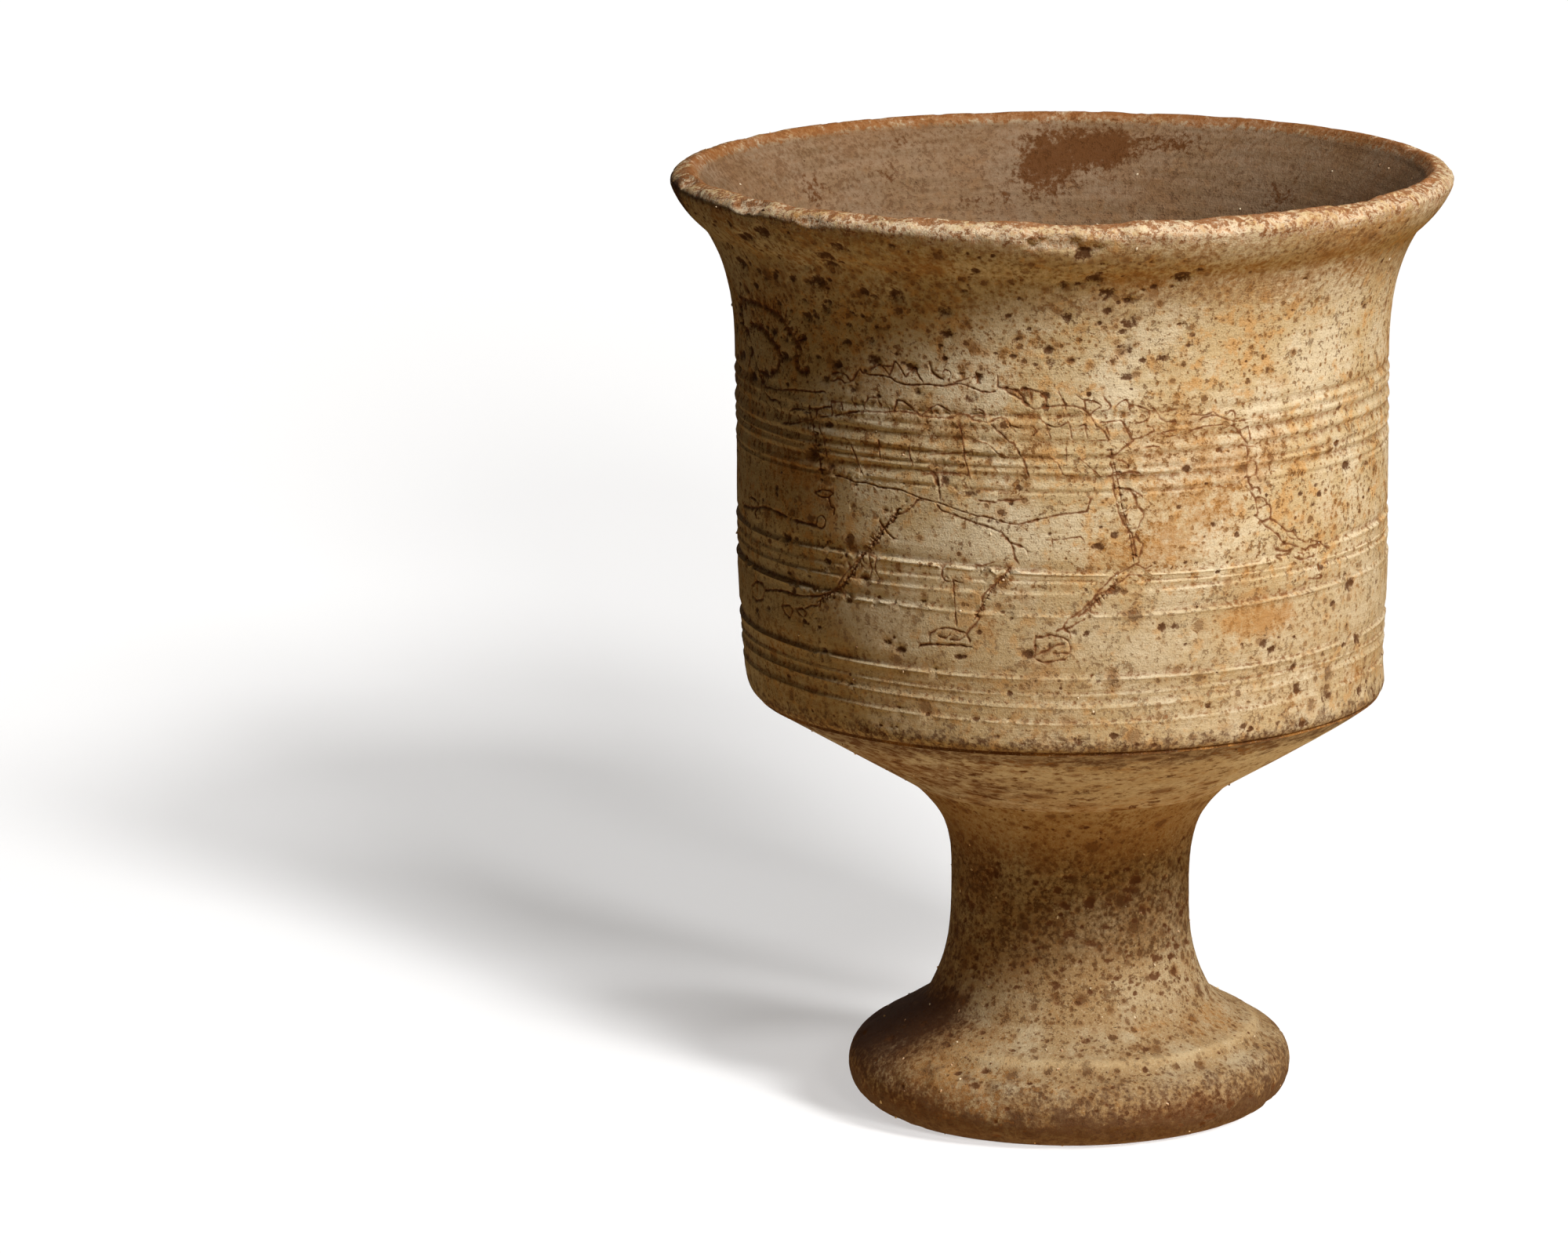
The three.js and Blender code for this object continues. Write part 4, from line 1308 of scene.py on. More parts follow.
    (0.22, 0.25, (-66, 153.2, -65.7, 151.9)),
    # chest, belly and the far front legs
    (0.24, 0.3, (-46.9, 146, -47.7, 146.4, -45.7, 147.4, -43.7, 147.4, -43, 147.1, -44.1, 146, -45.7, 145.7,
        -46.9, 146)),
    (0.24, 0.3, (-44.1, 145.7, -43.7, 144, -42.6, 143.9, -43, 142.5)),
    (0.4, 0.45, (-53.4, 139.4, -51.1, 139.2, -47.4, 139.3)),
    (0.24, 0.3, (-47.3, 139.7, -47.1, 141.1, -46, 141.8, -45.1, 141.1, -45.1, 139.7, -45.8, 138.8,
        -47, 139.1)),
    (0.36, 0.4, (-75.7, 137.7, -70.8, 138.2, -66.7, 139.1, -64, 140, -61.5, 140.2, -55.9, 139.6)),
    (0.24, 0.3, (-70.4, 140.7, -67.8, 140.7, -66.2, 140.2, -66.4, 139.2, -68.2, 137.7, -67.4, 137.2)),
    (0.24, 0.3, (-42.5, 150.9, -40, 150.9, -37.9, 150.2, -35.8, 150.4, -32.3, 149.8, -28.8, 149.9)),
    (0.2, 0.25, (-28.8, 149.9, -24.9, 148.5, -21.2, 147.7, -14.2, 145.4)),
    (0.22, 0.25, (-21.7, 147.3, -20.9, 146.2, -19.4, 145.8, -14.2, 143.7)),
    (0.28, 0.3, (-30.7, 143.8, -27.6, 145.2, -26.3, 146.6)),
    (0.22, 0.25, (-32, 141.4, -30.1, 142.7, -29.8, 143.7)),
    (0.28, 0.3, (-33, 142.6, -31, 139.9, -30, 139.2)),
    (0.26, 0.3, (-32.3, 140, -33.2, 138.6, -35.5, 135.5, -37.2, 133.9, -40.7, 129.6, -42.5, 126.6)),
    (0.22, 0.25, (-24.5, 148.4, -25.5, 147.8, -26.3, 146.6)),
    (0.3, 0.35, (-22.8, 154.3, -21.7, 153.4, -21.1, 149)),
    (0.26, 0.3, (-22.8, 154.1, -19.7, 154.4, -17.5, 154)),
    (0.22, 0.25, (-39.9, 129.4, -37.8, 129.5, -34.8, 130.1, -34.5, 131.6, -35.2, 134.9)),
    (0.2, 0.2, (-36.5, 134.7, -37.9, 132.5, -38.2, 130)),
    (0.2, 0.2, (-34.8, 135, -33.5, 134.5, -33.9, 132.4, -33.5, 131.1)),
    (0.3, 0.35, (-63.6, 121.7, -59.8, 122.7, -56.5, 123.1, -53.6, 123, -50.3, 123.4, -46.9, 124,
        -44.1, 125.3, -42.2, 126.7)),
    (0.34, 0.4, (-70.2, 118.8, -70.5, 120.9, -67.9, 122.7, -64.9, 122.9, -63.9, 121.8, -65, 119.4,
        -68.1, 118.3, -70.2, 118.8)),
    (0.26, 0.3, (-57.7, 119.7, -55.1, 120.3, -54.1, 119.5, -55.2, 117.5, -56.7, 118.2, -57.7, 119.7)),
    (0.28, 0.3, (-53.1, 120, -51.3, 120.4, -50, 119.7, -50.9, 118.6, -52.2, 118.9, -52.9, 119.7)),
    (0.24, 0.3, (-50.4, 120.6, -48.6, 121.7, -47, 121.8)),
    (0.4, 0.45, (-41.8, 126.7, -40.4, 125.1)),
    # near front leg and its hoof
    (0.22, 0.25, (-20.8, 133.6, -21, 132.2, -20.3, 131.1, -19.4, 130.9, -18.6, 131.3, -17.2, 130.9)),
    (0.22, 0.3, (-18.9, 131.4, -18.3, 121.6)),
    (0.36, 0.5, (-25, 116.7, -23, 117.1, -17.8, 117.4, -15.7, 117.2)),
    (0.26, 0.3, (-23.3, 117.4, -23.2, 119.5, -21.8, 120.5, -20.3, 121, -18.9, 120.9, -16.7, 120.1,
        -15.9, 118.4)),
    (0.26, 0.3, (-21.5, 119, -20.3, 118.7, -19.5, 119.5)),
    (0.3, 0.35, (-19.5, 118.5, -17.8, 118.5, -16.7, 119.7, -14.2, 123.3)),
    # hind leg and its hoof
    (0.22, 0.25, (11.6, 161.1, 10.7, 160.7, 8.9, 158.7, 7.8, 158.6)),
    (0.22, 0.25, (9.1, 157.9, 10.3, 157.4, 10.9, 156.8, 11.2, 156.1)),
    (0.24, 0.3, (8, 156.9, 8.5, 155.8, 8.7, 151, 9.4, 147.7, 9.5, 146.3, 10.5, 143.7, 11.2, 142.8,
        11.9, 141.4, 12.2, 139.7, 12.4, 136.9)),
    (0.26, 0.3, (8, 154.3, 11.6, 155.2, 12.5, 155.1, 13.4, 154.5)),
    (0.24, 0.3, (8.6, 151.6, 10, 151.7, 11.4, 151.4, 12.5, 150.7, 13.5, 149.8)),
    (0.26, 0.3, (11.4, 151.2, 12.3, 149.8, 12.5, 148.6, 13.8, 146, 13.7, 145.1, 13.1, 144.1, 12.9, 143,
        11.2, 142.8)),
    (0.2, 0.2, (9.5, 146.3, 10.3, 146.5, 11, 147)),
    (0.2, 0.2, (9.8, 146, 10.7, 145.4, 11.2, 144.2)),
    (0.24, 0.3, (12.5, 141.6, 12.9, 140.2, 13.7, 139.6, 13.2, 136.9, 12.8, 136.3, 13.1, 135.5, 12.1, 135.2,
        11.4, 134.6)),
    (0.26, 0.3, (11.4, 134.6, 8.3, 132.6, 7.6, 131.5, 6, 129.6)),
    (0.26, 0.3, (12.1, 135.2, 13.2, 134.9, 14.1, 134.1, 15.2, 134.8)),
    (0.24, 0.3, (11.6, 133, 13.4, 132.8)),
    (0.26, 0.3, (11.3, 133, 8.3, 130.2, 7.4, 129.6, 6, 129.1)),
    (0.34, 0.4, (6, 129.1, 3.8, 126.3, 1.9, 124.3, 1, 123.8)),
    (0.26, 0.3, (5.8, 127.9, 4.3, 125.7, 2.7, 124.3)),
    (0.26, 0.3, (1, 123.8, 0.3, 122.6, 0.1, 121.8, -0.8, 121.4)),
    (0.26, 0.3, (3.6, 123.7, 1.4, 122.1, 0.5, 121.7)),
    (0.26, 0.35, (-4.5, 120.3, -4.7, 118.6, -4.6, 116.9, -4.8, 115.5)),
    (0.3, 0.4, (-4.3, 119.8, -3, 119.9, -2.1, 120.4, 0.3, 119.8, 1, 119, 1.4, 117.5, 1.2, 116.4)),
    (0.34, 0.45, (-4.9, 115.5, -3.9, 116.4, -2.6, 117, -0.8, 118.3, 0.3, 118.4)),
    (0.3, 0.4, (-1.5, 116.4, 1, 116.4)),
    (0.26, 0.35, (-4.4, 115, -3.5, 114.4, -2.1, 114.4, -0.8, 114.9, 0.4, 115)),
    (0.26, 0.3, (0.3, 121.8, 1.2, 120.7, 1.4, 119.8)),
    # belly and the near front leg
    (0.24, 0.3, (-14.2, 145.5, -12.8, 145.4, -9.6, 144.3, -7.6, 144, -0.4, 146.3, 4.1, 146.8)),
    (0.2, 0.25, (4.1, 146.8, 4.7, 149.3)),
    (0.28, 0.35, (-14.2, 143.8, -12.8, 143.4, -10.3, 142.2, -8.8, 140, -6.5, 139.1, -6, 138.4)),
    (0.24, 0.3, (-8.8, 140, -8.3, 138.8, -8.2, 137.4, -7.9, 136.3)),
    (0.28, 0.3, (-10.8, 149.1, -8.5, 149.1, -6.5, 149.6)),
    (0.22, 0.25, (-14.2, 148.8, -11.4, 148.6)),
    (0.18, 0.2, (-2.8, 140.8, -0.4, 140.9, 3, 141.5, 3.6, 140.8)),
    (0.18, 0.2, (-1.7, 141.1, -1.7, 140)),
    (0.3, 0.3, (-9.4, 134, -10.1, 132.8, -13, 129.3, -13.6, 128.2, -13.8, 126.7, -13.5, 125.5)),
    (0.26, 0.3, (-14.1, 134.8, -12.8, 135.2, -11.7, 135.7)),
    # tail
    (0.24, 0.3, (22.2, 166.7, 24.6, 166.2, 25.6, 166.4, 26.4, 166.9, 27.1, 165.9, 29.4, 164.7, 30.7, 164.3,
        33.2, 164.4)),
    (0.22, 0.25, (23.9, 165.4, 24.8, 165.9, 26.8, 166)),
    (0.22, 0.25, (29.6, 166.7, 30.2, 166.6, 30.6, 165.8)),
    (0.18, 0.2, (24.4, 163.9, 28.1, 163.9)),
    (0.2, 0.2, (22.2, 163.2, 23.9, 163.6)),
    (0.26, 0.3, (28.5, 163, 29.6, 163.5, 30.4, 163.5, 33.1, 159.2)),
    (0.2, 0.25, (31.5, 162.2, 33.3, 163, 33.6, 160.4)),
    (0.26, 0.35, (32.3, 158.9, 34.9, 158.3)),
    (0.24, 0.3, (33, 158.4, 33.1, 156.8, 32.8, 154, 33, 152.3, 33.4, 150.9, 34, 149.7)),
    (0.26, 0.3, (33, 155.3, 34, 155.4, 34.9, 155, 35.1, 153.7, 34.9, 152.3)),
    (0.22, 0.25, (32.3, 152, 33.4, 152, 34.8, 152.4, 35.3, 151.2)),
    (0.24, 0.3, (33.6, 149.1, 34.5, 149.6, 35.5, 149.4, 35.8, 148.3)),
    (0.26, 0.3, (33.5, 149.2, 34.8, 147, 35.3, 143.9, 35, 143.2, 36.3, 142, 38, 142.5)),
    (0.24, 0.3, (34.8, 147.3, 36, 147.4, 36.8, 146.7, 37.2, 145.8)),
    (0.24, 0.3, (35.4, 145, 37.6, 145.6, 38.2, 144.6, 38, 142.5)),
    (0.28, 0.35, (35.7, 142.5, 36.8, 141.1, 39, 139.3, 39.9, 138.4, 40.5, 137.3, 41.4, 136.4)),
    (0.24, 0.3, (38, 142.3, 39.2, 141.6, 42, 138.9, 43.2, 138.8)),
    (0.32, 0.4, (39.3, 135.6, 40.5, 135, 42.4, 134.6, 43, 134.7)),
    (0.26, 0.35, (39.9, 134.1, 41.1, 133.9, 42.4, 134.1)),
    (0.3, 0.4, (41.4, 136.4, 42.6, 136.2, 46.6, 134.1)),
    (0.24, 0.3, (43.5, 138.6, 44.5, 137, 46.5, 135.8)),
    (0.22, 0.3, (42, 138.2, 42.9, 137.3, 44.2, 136.9)),
    (0.32, 0.45, (46.6, 134.1, 47.9, 134.7, 49.3, 134.7, 50.8, 135, 51.9, 133.9, 53.3, 133.1)),
    (0.24, 0.3, (47.5, 136.2, 50.4, 135.1)),
    (0.24, 0.3, (48.6, 134.3, 49.7, 134.1)),
    (0.28, 0.35, (43.9, 132.9, 45.9, 132.1, 49, 132.5)),
    (0.24, 0.3, (44.9, 133.8, 46.2, 133.3)),
    (0.24, 0.3, (50.2, 130.6, 50.3, 129.4)),
    (0.22, 0.3, (47.5, 127.7, 49.3, 127.5, 50.3, 128.1, 51.5, 127.2, 49.6, 127.2)),
)
# Parts scored dark with many short cuts, the horns first and then the legs: the middle
# line, its half width, the gap between the short cuts and their reach, in mm.
SCORED = (
    ((-69.6, 176.6, -72.4, 177.4, -73.3, 178.9, -72.5, 183.1, -70.7, 184.1, -64.5, 184.6, -61.9, 184.6,
        -59.5, 184.1, -57.4, 183.7, -55.6, 183, -54.6, 182, -53.7, 180.5, -50.9, 177.1), 0.75, 0.6, 2),
    ((-68.4, 178.8, -65.3, 179.7, -63.1, 179.4, -59.1, 176.9, -57.7, 175.8, -57.2, 174.4, -57.3, 172.7,
        -58.7, 171, -60.2, 170.1), 0.75, 0.6, 1),
    ((-52.2, 175.9, -51.7, 174.9, -52.4, 173.3, -51.7, 172.3, -49.4, 172.1), 0.65, 0.6, 1),
    ((-49.1, 164.6, -47.9, 160.9, -46.9, 156.1, -45.8, 150.9), 0.26, 1.1, 0.8),
    ((-28.9, 145.8, -32.2, 140.8, -35.6, 135.9, -38.2, 131.6, -40.9, 127.4, -47, 122.7), 0.18, 0.9, 0.6),
    ((-8.9, 134.6, -12.1, 129.9, -15.1, 123.3), 0.16, 0.9, 0.35),
    ((8.1, 160, 9.3, 153.9, 10.1, 147.4, 11.4, 141.6, 12.1, 135.8), 0.12, 1.7, 0.7),
    ((9.3, 131.8, 6.5, 128.3, 3.5, 125.2), 0.16, 0.9, 0.6),
)
SCORED_DEPTH = 0.35
CUT_DEPTH_SHARE = 0.7
HAND_SHAKE = 0.12
CUT_STEP = 0.45
SCORED_STEP = 0.5
CUT_REACH = 2.2
BURR_SHARE = 0.22
BURR_AT = 1.3
BURR_WIDTH = 0.35


def even_steps(corners, step, seed):
    """Walks a line of corners, in degrees and mm, by even steps with a slight shake
    of the hand. Returns places in mm across the front and mm of height."""
    scale = math.radians(1) * WALL_RADIUS / MM
    line = np.reshape(corners, (-1, 2)) * (scale, 1)
    lengths = np.concatenate(([0], np.cumsum(np.linalg.norm(np.diff(line, axis=0), axis=1))))
    count = max(1, math.ceil(lengths[-1] / step))
    along = np.linspace(0, lengths[-1], count + 1)
    places = np.stack([np.interp(along, lengths, line[:, k]) for k in (0, 1)], axis=1)
    shake = [[noise.noise(Vector((a * 0.9, seed * 7.3, way))) for way in (0, 5)] for a in along]
    return places + np.array(shake) * HAND_SHAKE


def scored_cuts():
    """The cuts of the scored parts: a line along each, and hatching that stands out from it."""
    draw = random.Random(31)
    cuts = []
    for middle, width, gap, reach in SCORED:
        cuts.append((width, SCORED_DEPTH, even_steps(middle, SCORED_STEP, reach)))
        places = even_steps(middle, gap, 3)
        for here, after in zip(places, places[1:]):
            way = (after - here) / np.linalg.norm(after - here)
            side = np.array((-way[1], way[0]))
            lean = way * draw.uniform(-0.9, 0.9)
            start = here + (side + lean) * reach * draw.uniform(0.3, 1.3)
            end = here - side * reach * draw.uniform(0.1, 0.7)
            cuts.append((draw.uniform(0.18, 0.28), SCORED_DEPTH, np.linspace(start, end, 6)))
    return cuts


cuts = [
    (width, depth * CUT_DEPTH_SHARE, even_steps(corners, CUT_STEP, number))
    for number, (width, depth, corners) in enumerate(CUTS)
]
cuts.extend(scored_cuts())


def to_sheet(places):
    """Places on the front, in mm, as turns and unswayed runs of the wall's outside."""
    turns = places[:, 0] * MM / (2 * math.pi * WALL_RADIUS)
    runs = np.array([wall_run(h * MM) for h in places[:, 1]])
    return turns, runs


def cut_points():
    """Corners for the cuts: rows along the middle, the slopes and both edges."""
    points = []
    for share in (0, 1.0, -1.0, 2.1, -2.1):
        for width, _, places in cuts:
            ways = np.gradient(places, axis=0)
            sides = np.stack((-ways[:, 1], ways[:, 0]), axis=1)
            sides /= np.maximum(np.linalg.norm(sides, axis=1), 1e-6)[:, None]
            turns, runs = to_sheet(places + sides * width * share)
            points.extend(zip(turns, runs - wander(turns, runs - wander(turns, runs))))
    return points


def cut_depth(turns, runs):
    """Depth of the cuts at each point, the burr they threw up and their mask."""
    across = turns * 2 * math.pi * WALL_RADIUS / MM
    heights = wall_outline.at(runs)[1] / MM
    depth = np.zeros(len(turns))
    burr = np.zeros(len(turns))
    mask = np.zeros(len(turns))
    rough = worn_noise(wall_outline, turns, runs, 1.1 * MM)
    before_lip = runs < lip_top_run
    for width, deep, places in cuts:
        reach = width * CUT_REACH
        low, high = places.min(axis=0) - reach, places.max(axis=0) + reach
        beside = before_lip & (across > low[0]) & (across < high[0])
        near = np.nonzero(beside & (heights > low[1]) & (heights < high[1]))[0]
        if len(near) == 0:
            continue
        spot = np.stack((across[near], heights[near]), axis=1)[:, None, :]
        start, step = places[None, :-1], np.diff(places, axis=0)[None]
        share = np.clip(((spot - start) * step).sum(2) / np.maximum((step ** 2).sum(2), 1e-9), 0, 1)
        away = np.linalg.norm(spot - start - step * share[..., None], axis=2).min(axis=1)
        away = away / (width * (1 + 0.45 * rough[near]))
        inside = np.clip(1 - away, 0, 1)
        sunk = deep * MM * np.minimum(inside * 1.3, 1) * (1 + 0.4 * rough[near])
        depth[near] = np.maximum(depth[near], sunk)
        thrown = BURR_SHARE * deep * MM * np.exp(-((away - BURR_AT) / BURR_WIDTH) ** 2)
        burr[near] = np.maximum(burr[near], thrown)
        mask[near] = np.maximum(mask[near], np.clip(1.35 - away, 0, 1) * (1.0 + 0.6 * rough[near]))
    return np.where(depth > 0.02 * MM, -depth, burr), mask


def groove_depth(turns, runs):
    """Depth of the turned grooves at each point, and the mask of their bottoms."""
    depth = np.zeros(len(turns))
    mask = np.zeros(len(turns))
    ring = 2 * np.pi * turns
    for number, groove in enumerate(GROOVES):
        _, deep, above, below = groove
        apart = (runs - level(groove)) / MM
        share = np.where(apart > 0, apart / above, -apart / below)
        near = np.nonzero(share < GROOVE_REACH)[0]
        fade = np.array([
            noise.noise(Vector((math.sin(a) * 2.2, math.cos(a) * 2.2, number * 3.1))) for a in ring[near]
        ])
        strength = np.clip(0.85 + 0.6 * fade, 0.2, 1.3)
        shape = np.clip(1 - share[near], 0, 1)
        ridge = RIDGE_SHARE * np.exp(-((share[near] - RIDGE_AT) / RIDGE_WIDTH) ** 2) * (apart[near] < 0)
        depth[near] += deep * MM * (shape - ridge) * strength
        mask[near] = np.maximum(mask[near], shape ** 2 * strength)
    return depth, mask


# Chips on the lip: degrees round, mm along the run from the lip's top (outwards is
# negative), half width and half height in mm, and depth in mm.
CHIPS = (
    (-1, -6.5, 6.5, 2.2, 0.9), (4, -7.8, 4.0, 1.6, 0.7), (-52, -3.0, 5.5, 2.2, 1.0),
    (-38, -4.5, 4.0, 1.6, 0.8), (-30, -2.0, 4.5, 1.6, 0.7), (-20, -2.5, 3.5, 1.4, 0.6),
    (-10, -3.2, 3.0, 1.4, 0.6), (14, -3.0, 3.2, 1.4, 0.6), (24, -4.2, 4.2, 1.6, 0.8),
    (33, -3.0, 3.0, 1.3, 0.6), (46, -4.0, 5.0, 1.7, 0.9), (58, -2.6, 4.0, 1.6, 0.8),
    (72, -1.5, 4.0, 2.0, 0.9), (108, -1.0, 5.0, 2.4, 0.6), (-75, -2.0, 4.0, 2.0, 0.9),
    (-120, -1.5, 5.0, 2.0, 0.5),
)
LIP_WEAR = 0.22


def chip_depth(turns, runs):
    """Depth of the lip's chips and of its general wear, and the mask of bare clay."""
    angle = turns * 360
    along = (runs - lip_top_run) / MM
    broad, coarse, fine = (worn_noise(wall_outline, turns, runs, size * MM) for size in (11, 2.4, 1.0))
    rough = coarse + 0.5 * fine
    depth = np.zeros(len(turns))
    mask = np.zeros(len(turns))
    for place, run, width, height, deep in CHIPS:
        apart = (angle - place + 180) % 360 - 180
        across = np.radians(apart) * lip_radius / MM
        away = np.sqrt((across / width) ** 2 + ((along - run) / height) ** 2) + 0.45 * rough
        inside = ramp(1 - away, 0, 0.35)
        depth = np.maximum(depth, inside * deep * MM)
        mask = np.maximum(mask, inside)
    crest = ramp(along, -9, -6.5) * (1 - ramp(along, 0.5, 3.5))
    wear = crest * ramp(rough, 0.02, 0.55)
    depth = np.maximum(depth, wear * LIP_WEAR * MM)
    front = ramp(np.cos(np.radians(angle - 10)), -0.1, 0.5)
    mask = np.maximum(mask, crest * (0.25 + 0.75 * front) * (0.55 + 0.5 * rough))
    dents = ramp(along, -8, -2) * (1 - ramp(along, 1, 7)) * ramp(broad, -0.1, 0.6)
    return depth + dents * (0.25 + 0.5 * front) * MM, mask


# Stains on the wall, told as for stain_mask. The inner soot lies on the inner wall.
OUTER_STAINS = (
    (20, 141, 9, 8, 0.9), (12, 138, 7, 7, 0.6), (32, 121, 9, 5, 1.0), (41, 121, 7, 5, 0.8),
    (5, 139, 6, 4, 0.6), (28, 147, 7, 6, 0.6), (-13, 122, 4, 3, 0.8), (-46, 150, 8, 8, 0.7),
    (-57, 150, 9, 9, 0.9), (-34, 156, 6, 4, 0.7), (38, 173, 5, 4, 0.7), (30, 176, 6, 3, 0.5),
    (56, 194, 12, 5, 0.7), (-30, 188, 16, 9, 0.4), (-50, 190, 16, 8, 0.25), (-10, 192, 12, 6, 0.45),
    (10, 197, 14, 4, 0.8), (30, 198, 16, 4, 0.8), (54, 141, 7, 7, 0.6), (62, 123, 6, 6, 0.5),
    (48, 162, 12, 4, 0.5), (24, 104, 10, 5, 0.5), (64, 103, 8, 6, 0.8), (44, 100, 8, 4, 0.7),
    (-60, 110, 10, 8, 0.7), (100, 150, 16, 14, 0.8), (140, 125, 18, 10, 0.7), (-110, 140, 18, 12, 0.8),
    (-150, 165, 16, 10, 0.7), (175, 140, 12, 14, 0.6), (-32, 206, 22, 3, 0.7), (-6, 208, 10, 1.5, 0.8),
    (25, 208, 9, 2, 0.6), (-60, 206, 8, 3, 1.0), (-40, 208, 5, 2, 1.0), (3, 206, 5, 2.5, 1.0),
    (18, 208, 5, 2, 0.8), (38, 207, 7, 2.5, 0.9), (58, 206, 6, 3, 0.8), (-20, 200, 10, 3, 0.8),
    (-45, 198, 8, 3, 0.7), (48, 200, 9, 3, 0.6),
)
# Parts of the wall with more brown spots than the rest, told in the same way.
FLECKED = (
    (-36, 188, 26, 13, 0.9), (-8, 186, 24, 11, 0.75), (-44, 158, 12, 14, 0.5), (-20, 178, 14, 6, 0.3),
    (-30, 130, 26, 6, 0.4), (-10, 106, 50, 7, 0.35), (52, 104, 24, 8, 0.35), (60, 150, 18, 26, 0.2),
    (45, 128, 26, 8, 0.3), (-60, 106, 26, 10, 0.4), (120, 150, 60, 40, 0.25), (-130, 150, 60, 40, 0.25),
    (-47, 155, 3, 8, 0.7), (-38, 130, 6, 5, 0.7), (-46, 123, 7, 2.5, 0.8),
)
# Places where the cuts are freshly scuffed, told in the same way.
SCUFFS = (
    (-21, 153, 2.2, 2.2, 1.0), (-17, 150, 2.4, 1.4, 0.9), (-37, 134, 1.6, 3.0, 1.0),
    (-33, 133, 1.2, 1.6, 0.8),
)
LIP_SOOT = ((-78, 206, 5, 6, 1.3), (-66, 208.5, 6, 2, 0.7))
INNER_SOOT = (
    (177, 202, 10, 6, 1.0), (184, 198, 6, 6, 0.9), (171, 203, 7, 3.5, 0.8), (160, 204, 9, 2.5, 0.6),
    (-129, 197, 5, 4, 0.6), (-146, 199, 4, 3, 0.6), (136, 196, 5, 6, 0.55), (-165, 191, 9, 2, 0.5),
    (-152, 205, 5, 1.5, 0.5),
)


LEAST_ROW_GAP = 0.13 * MM
groove_rows = set()
for groove in GROOVES:
    for share in GROOVE_ROWS:
        row = level(groove) + share * MM * (groove[2] if share > 0 else groove[3])
        if all(abs(row - other) > LEAST_ROW_GAP for other in groove_rows):
            groove_rows.add(row)


LIP_FROM = 198 * MM
LIP_INSIDE = 6 * MM
FLARE_INSIDE = 42 * MM
grooves_run, lip_run = wall_run(GROOVES_FROM), wall_run(LIP_FROM)
lip_end, flare_end_inside = lip_top_run + LIP_INSIDE, lip_top_run + FLARE_INSIDE


def wall_rows():
    """Rows of the wall's sheet: along the grooves, close on the lip, wider inside."""
    rows = {*wall_outline.corners(), *groove_rows}
    stretches = (
        (0, grooves_run, 0.9), (grooves_run, lip_run, 1.5), (lip_run, lip_end, 0.7),
        (lip_end, flare_end_inside, 1.1), (flare_end_inside, wall_outline.length, 3.0),
    )
    for start, end, gap in stretches:
        count = math.ceil((end - start) / (gap * MM))
        for step in range(count):
            run = between(start, end, step / count)
            if all(abs(run - other) > 0.55 * gap * MM for other in rows):
                rows.add(run)
    return sorted(rows)


def wall_spacing(run):
    """How far apart the points of a row lie, on the wall, the lip and the inside."""
    if run < lip_run:
        return 2.0 * MM
    if run < lip_end:
        return 1.1 * MM
    return 2.4 * MM if run < flare_end_inside else 4.5 * MM


# Pits seen in the photograph: degrees round, mm above the floor and their size in mm.
SEEN_PITS = (
    (53.5, 100.8, 2.0), (44, 108.8, 1.2), (45, 104, 1.4), (64, 110.6, 1.4), (60, 123.5, 1.7),
    (58.5, 150.3, 1.6), (66.5, 149, 1.1), (-48, 155, 1.6), (-55.5, 174.6, 1.4), (-43, 187, 1.4),
    (-54, 192.5, 1.1), (-45, 192.6, 1.1), (17.5, 121.8, 1.3), (19.5, 122, 1.1), (37, 115.8, 1.2),
    (26.7, 143.3, 1.0), (-6, 116.5, 1.3), (8.9, 142.2, 0.9),
)
SEEN_PIT_DEPTH = 0.4
SEEN_PIT_STRETCH = 1.3
WALL_PITS = (
    (15, 380, MM, lip_top_run - 8 * MM, 0.35 * MM, 1.0 * MM),
    (16, 150, wall_run(167 * MM), wall_run(205 * MM), 0.6 * MM, 1.9 * MM, 1.1, (-80, 22)),
    (17, 70, grooves_run, wall_run(150 * MM), 0.45 * MM, 1.2 * MM, 1.2, (-80, 80)),
    (18, 150, 0.6 * MM, 4.5 * MM, 0.3 * MM, 0.9 * MM, 1.4),
)
WALL_GRIT = (2500, 4 * MM, 0.5 * MM, 8)
WHEEL_MARK_GAP = 2.6 * MM
WHEEL_MARK_DEPTH = 0.07
WHEEL_MARKS_END = (18 * MM, 24 * MM)
GROOVE_TINT = 0.45
SCUFF_STRENGTH = 0.6
small, *large = [scatter_pits(wall_outline, *sort) for sort in WALL_PITS]
seen = [
    (angle / 360, wall_run(height * MM), size * MM, size * SEEN_PIT_DEPTH * MM, SEEN_PIT_STRETCH)
    for angle, height, size in SEEN_PITS
]
wall_pits = [*small, *seen, *(pit for sort in large for pit in sort)]
sheet_marks = pit_points(wall_pits, wall_outline) + cut_points()
turns, runs, faces = flat_sheet(wall_outline, wall_rows(), wall_spacing, sheet_marks, groove_rows)
grooved, groove = groove_depth(turns, runs)
runs_swayed = runs + wander(turns, runs)
carved, cut = cut_depth(turns, runs_swayed)
pitted, pit = pit_depth(wall_pits, wall_outline, turns, runs)
chipped, chip = chip_depth(turns, runs)
swaying = worn_noise(wall_outline, turns, runs, 30 * MM)
wheel_marks = np.sin((runs - lip_top_run) / WHEEL_MARK_GAP * 2 * np.pi + 2 * swaying)
outer = runs <= lip_top_run


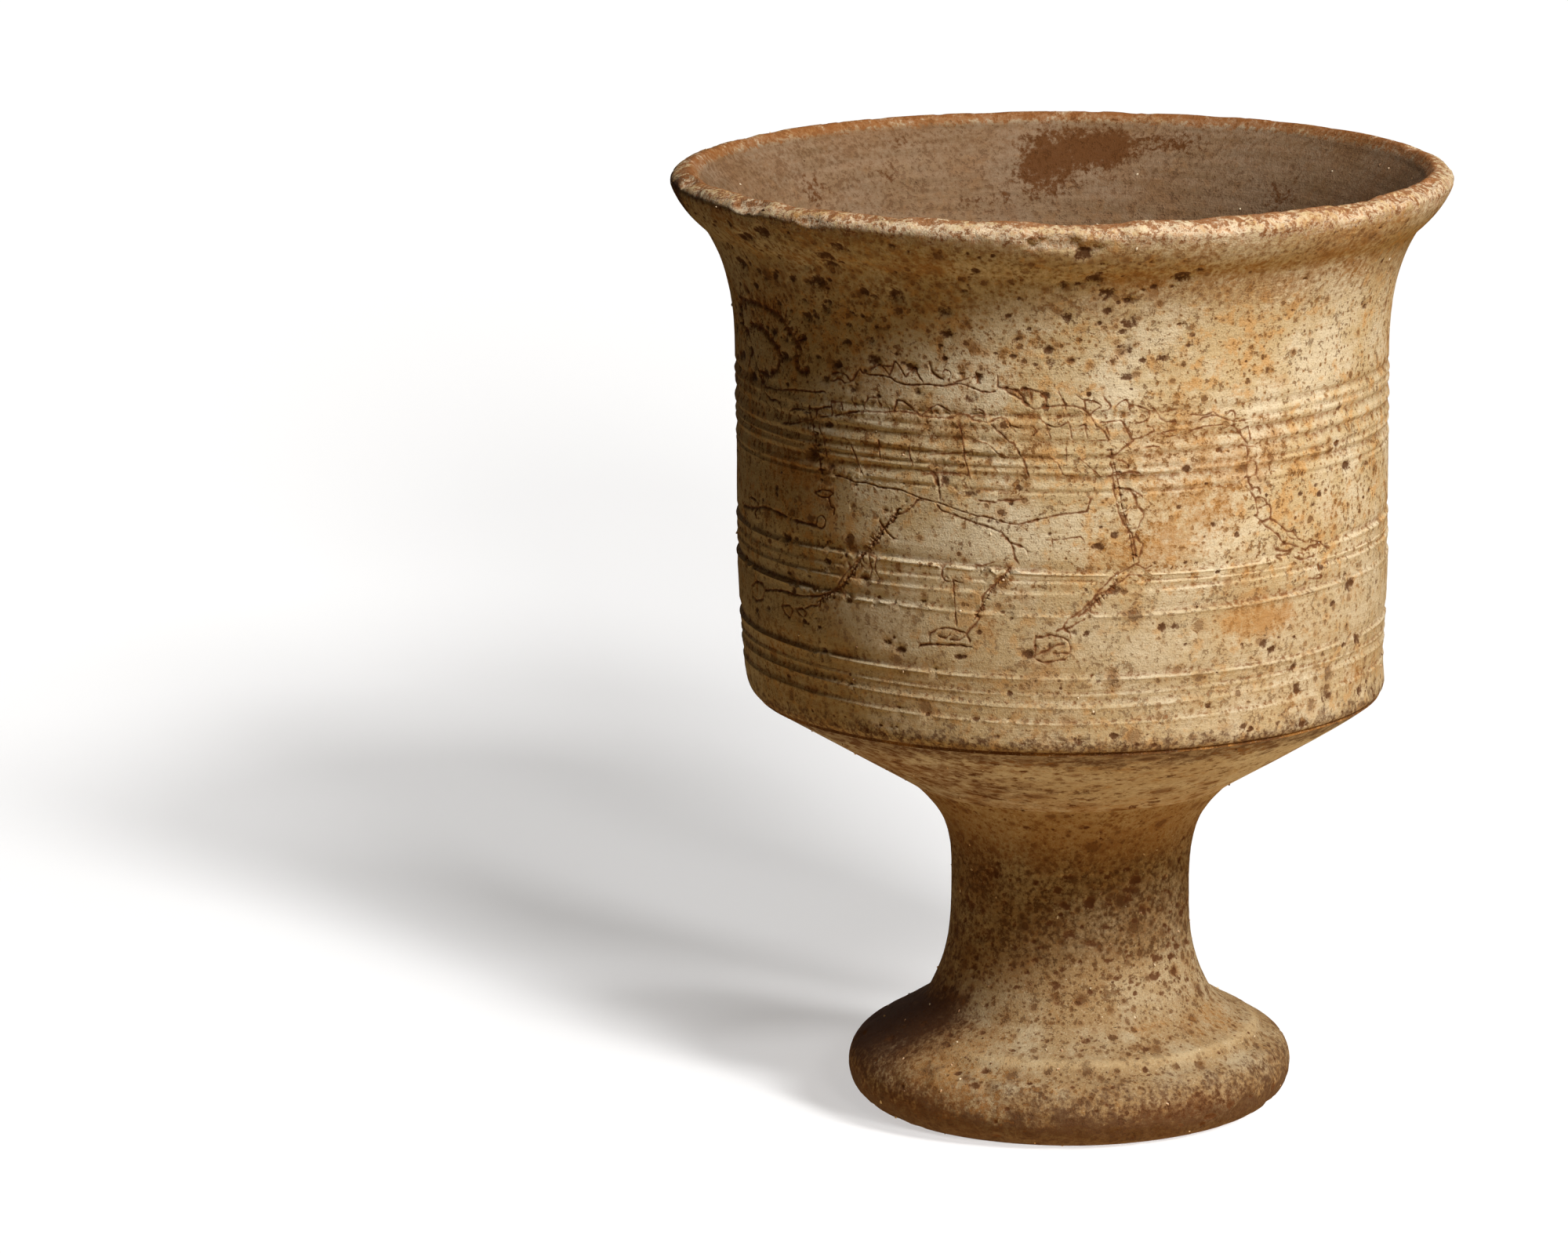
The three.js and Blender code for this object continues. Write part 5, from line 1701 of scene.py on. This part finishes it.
def past_lip(low, high):
    """A smooth step from 0 to 1 between two distances in mm past the lip's top."""
    return ramp(runs, lip_top_run + low * MM, lip_top_run + high * MM)


def on_wall(stains):
    """The mask of some stains at the points of the wall's sheet."""
    return stain_mask(stains, wall_outline, turns, runs)


inside = past_lip(0.5, 4)
to_end = ramp(wall_outline.length - runs, *WHEEL_MARKS_END)
lift = carved - grooved * (1 - np.clip(cut, 0, 1)) - pitted - chipped
lift += inside * to_end * wheel_marks * WHEEL_MARK_DEPTH * MM
masks = {
    "cut": np.maximum(cut, groove * GROOVE_TINT), "pit": pit, "inside": inside,
    "chip": np.maximum(chip, SCUFF_STRENGTH * outer * on_wall(SCUFFS)),
    "flecks": outer * on_wall(FLECKED),
    "crest": (0.5 * past_lip(-8.5, -6) + 0.5 * past_lip(-3.6, -1.2)) * (1 - past_lip(0.8, 2.6)),
    "rim": past_lip(-1.2, 0.3) * (1 - past_lip(1, 5)),
    "stain": outer * on_wall(OUTER_STAINS),
    "soot": np.where(outer, on_wall(LIP_SOOT), on_wall(INNER_SOOT)),
}
WALL_TONES = {
    "Tan Share": 0.46, "Blotch Share": 0.46, "Stain Share": 0.55, "Speck Share": 0.55, "Spot Share": 0.3,
}
# Bands of the wall, told as for clay's zones: a tan lower belly, the dark seam line at its foot, a brown
# band under the lip that is partly a stain and partly painted shadow of the lip, and a rusty band on the
# lip's top.
WALL_ZONES = (
    (90 * MM, 124 * MM, 9 * MM, (0.42, 0.31, 0.175, 1), 0.4, 0.4),
    (91 * MM, 95.8 * MM, 3 * MM, (0.12, 0.052, 0.022, 1), 0.85, 0.75),
    (191 * MM, 203 * MM, 5 * MM, (0.33, 0.19, 0.09, 1), 0.5, 0.95),
    (204 * MM, 215 * MM, 2 * MM, (0.40, 0.20, 0.07, 1), 0.5, 0.95),
)
wall_clay = clay("wall_clay", WALL_TONES, WALL_ZONES)
wall = throw("bowl_wall_thrown", wall_outline, (turns, runs_swayed, faces), lift, masks, wall_clay)
wall = set_grit(wall, *WALL_GRIT)
finish_piece(wall, "bowl_wall", "clay", bowl)
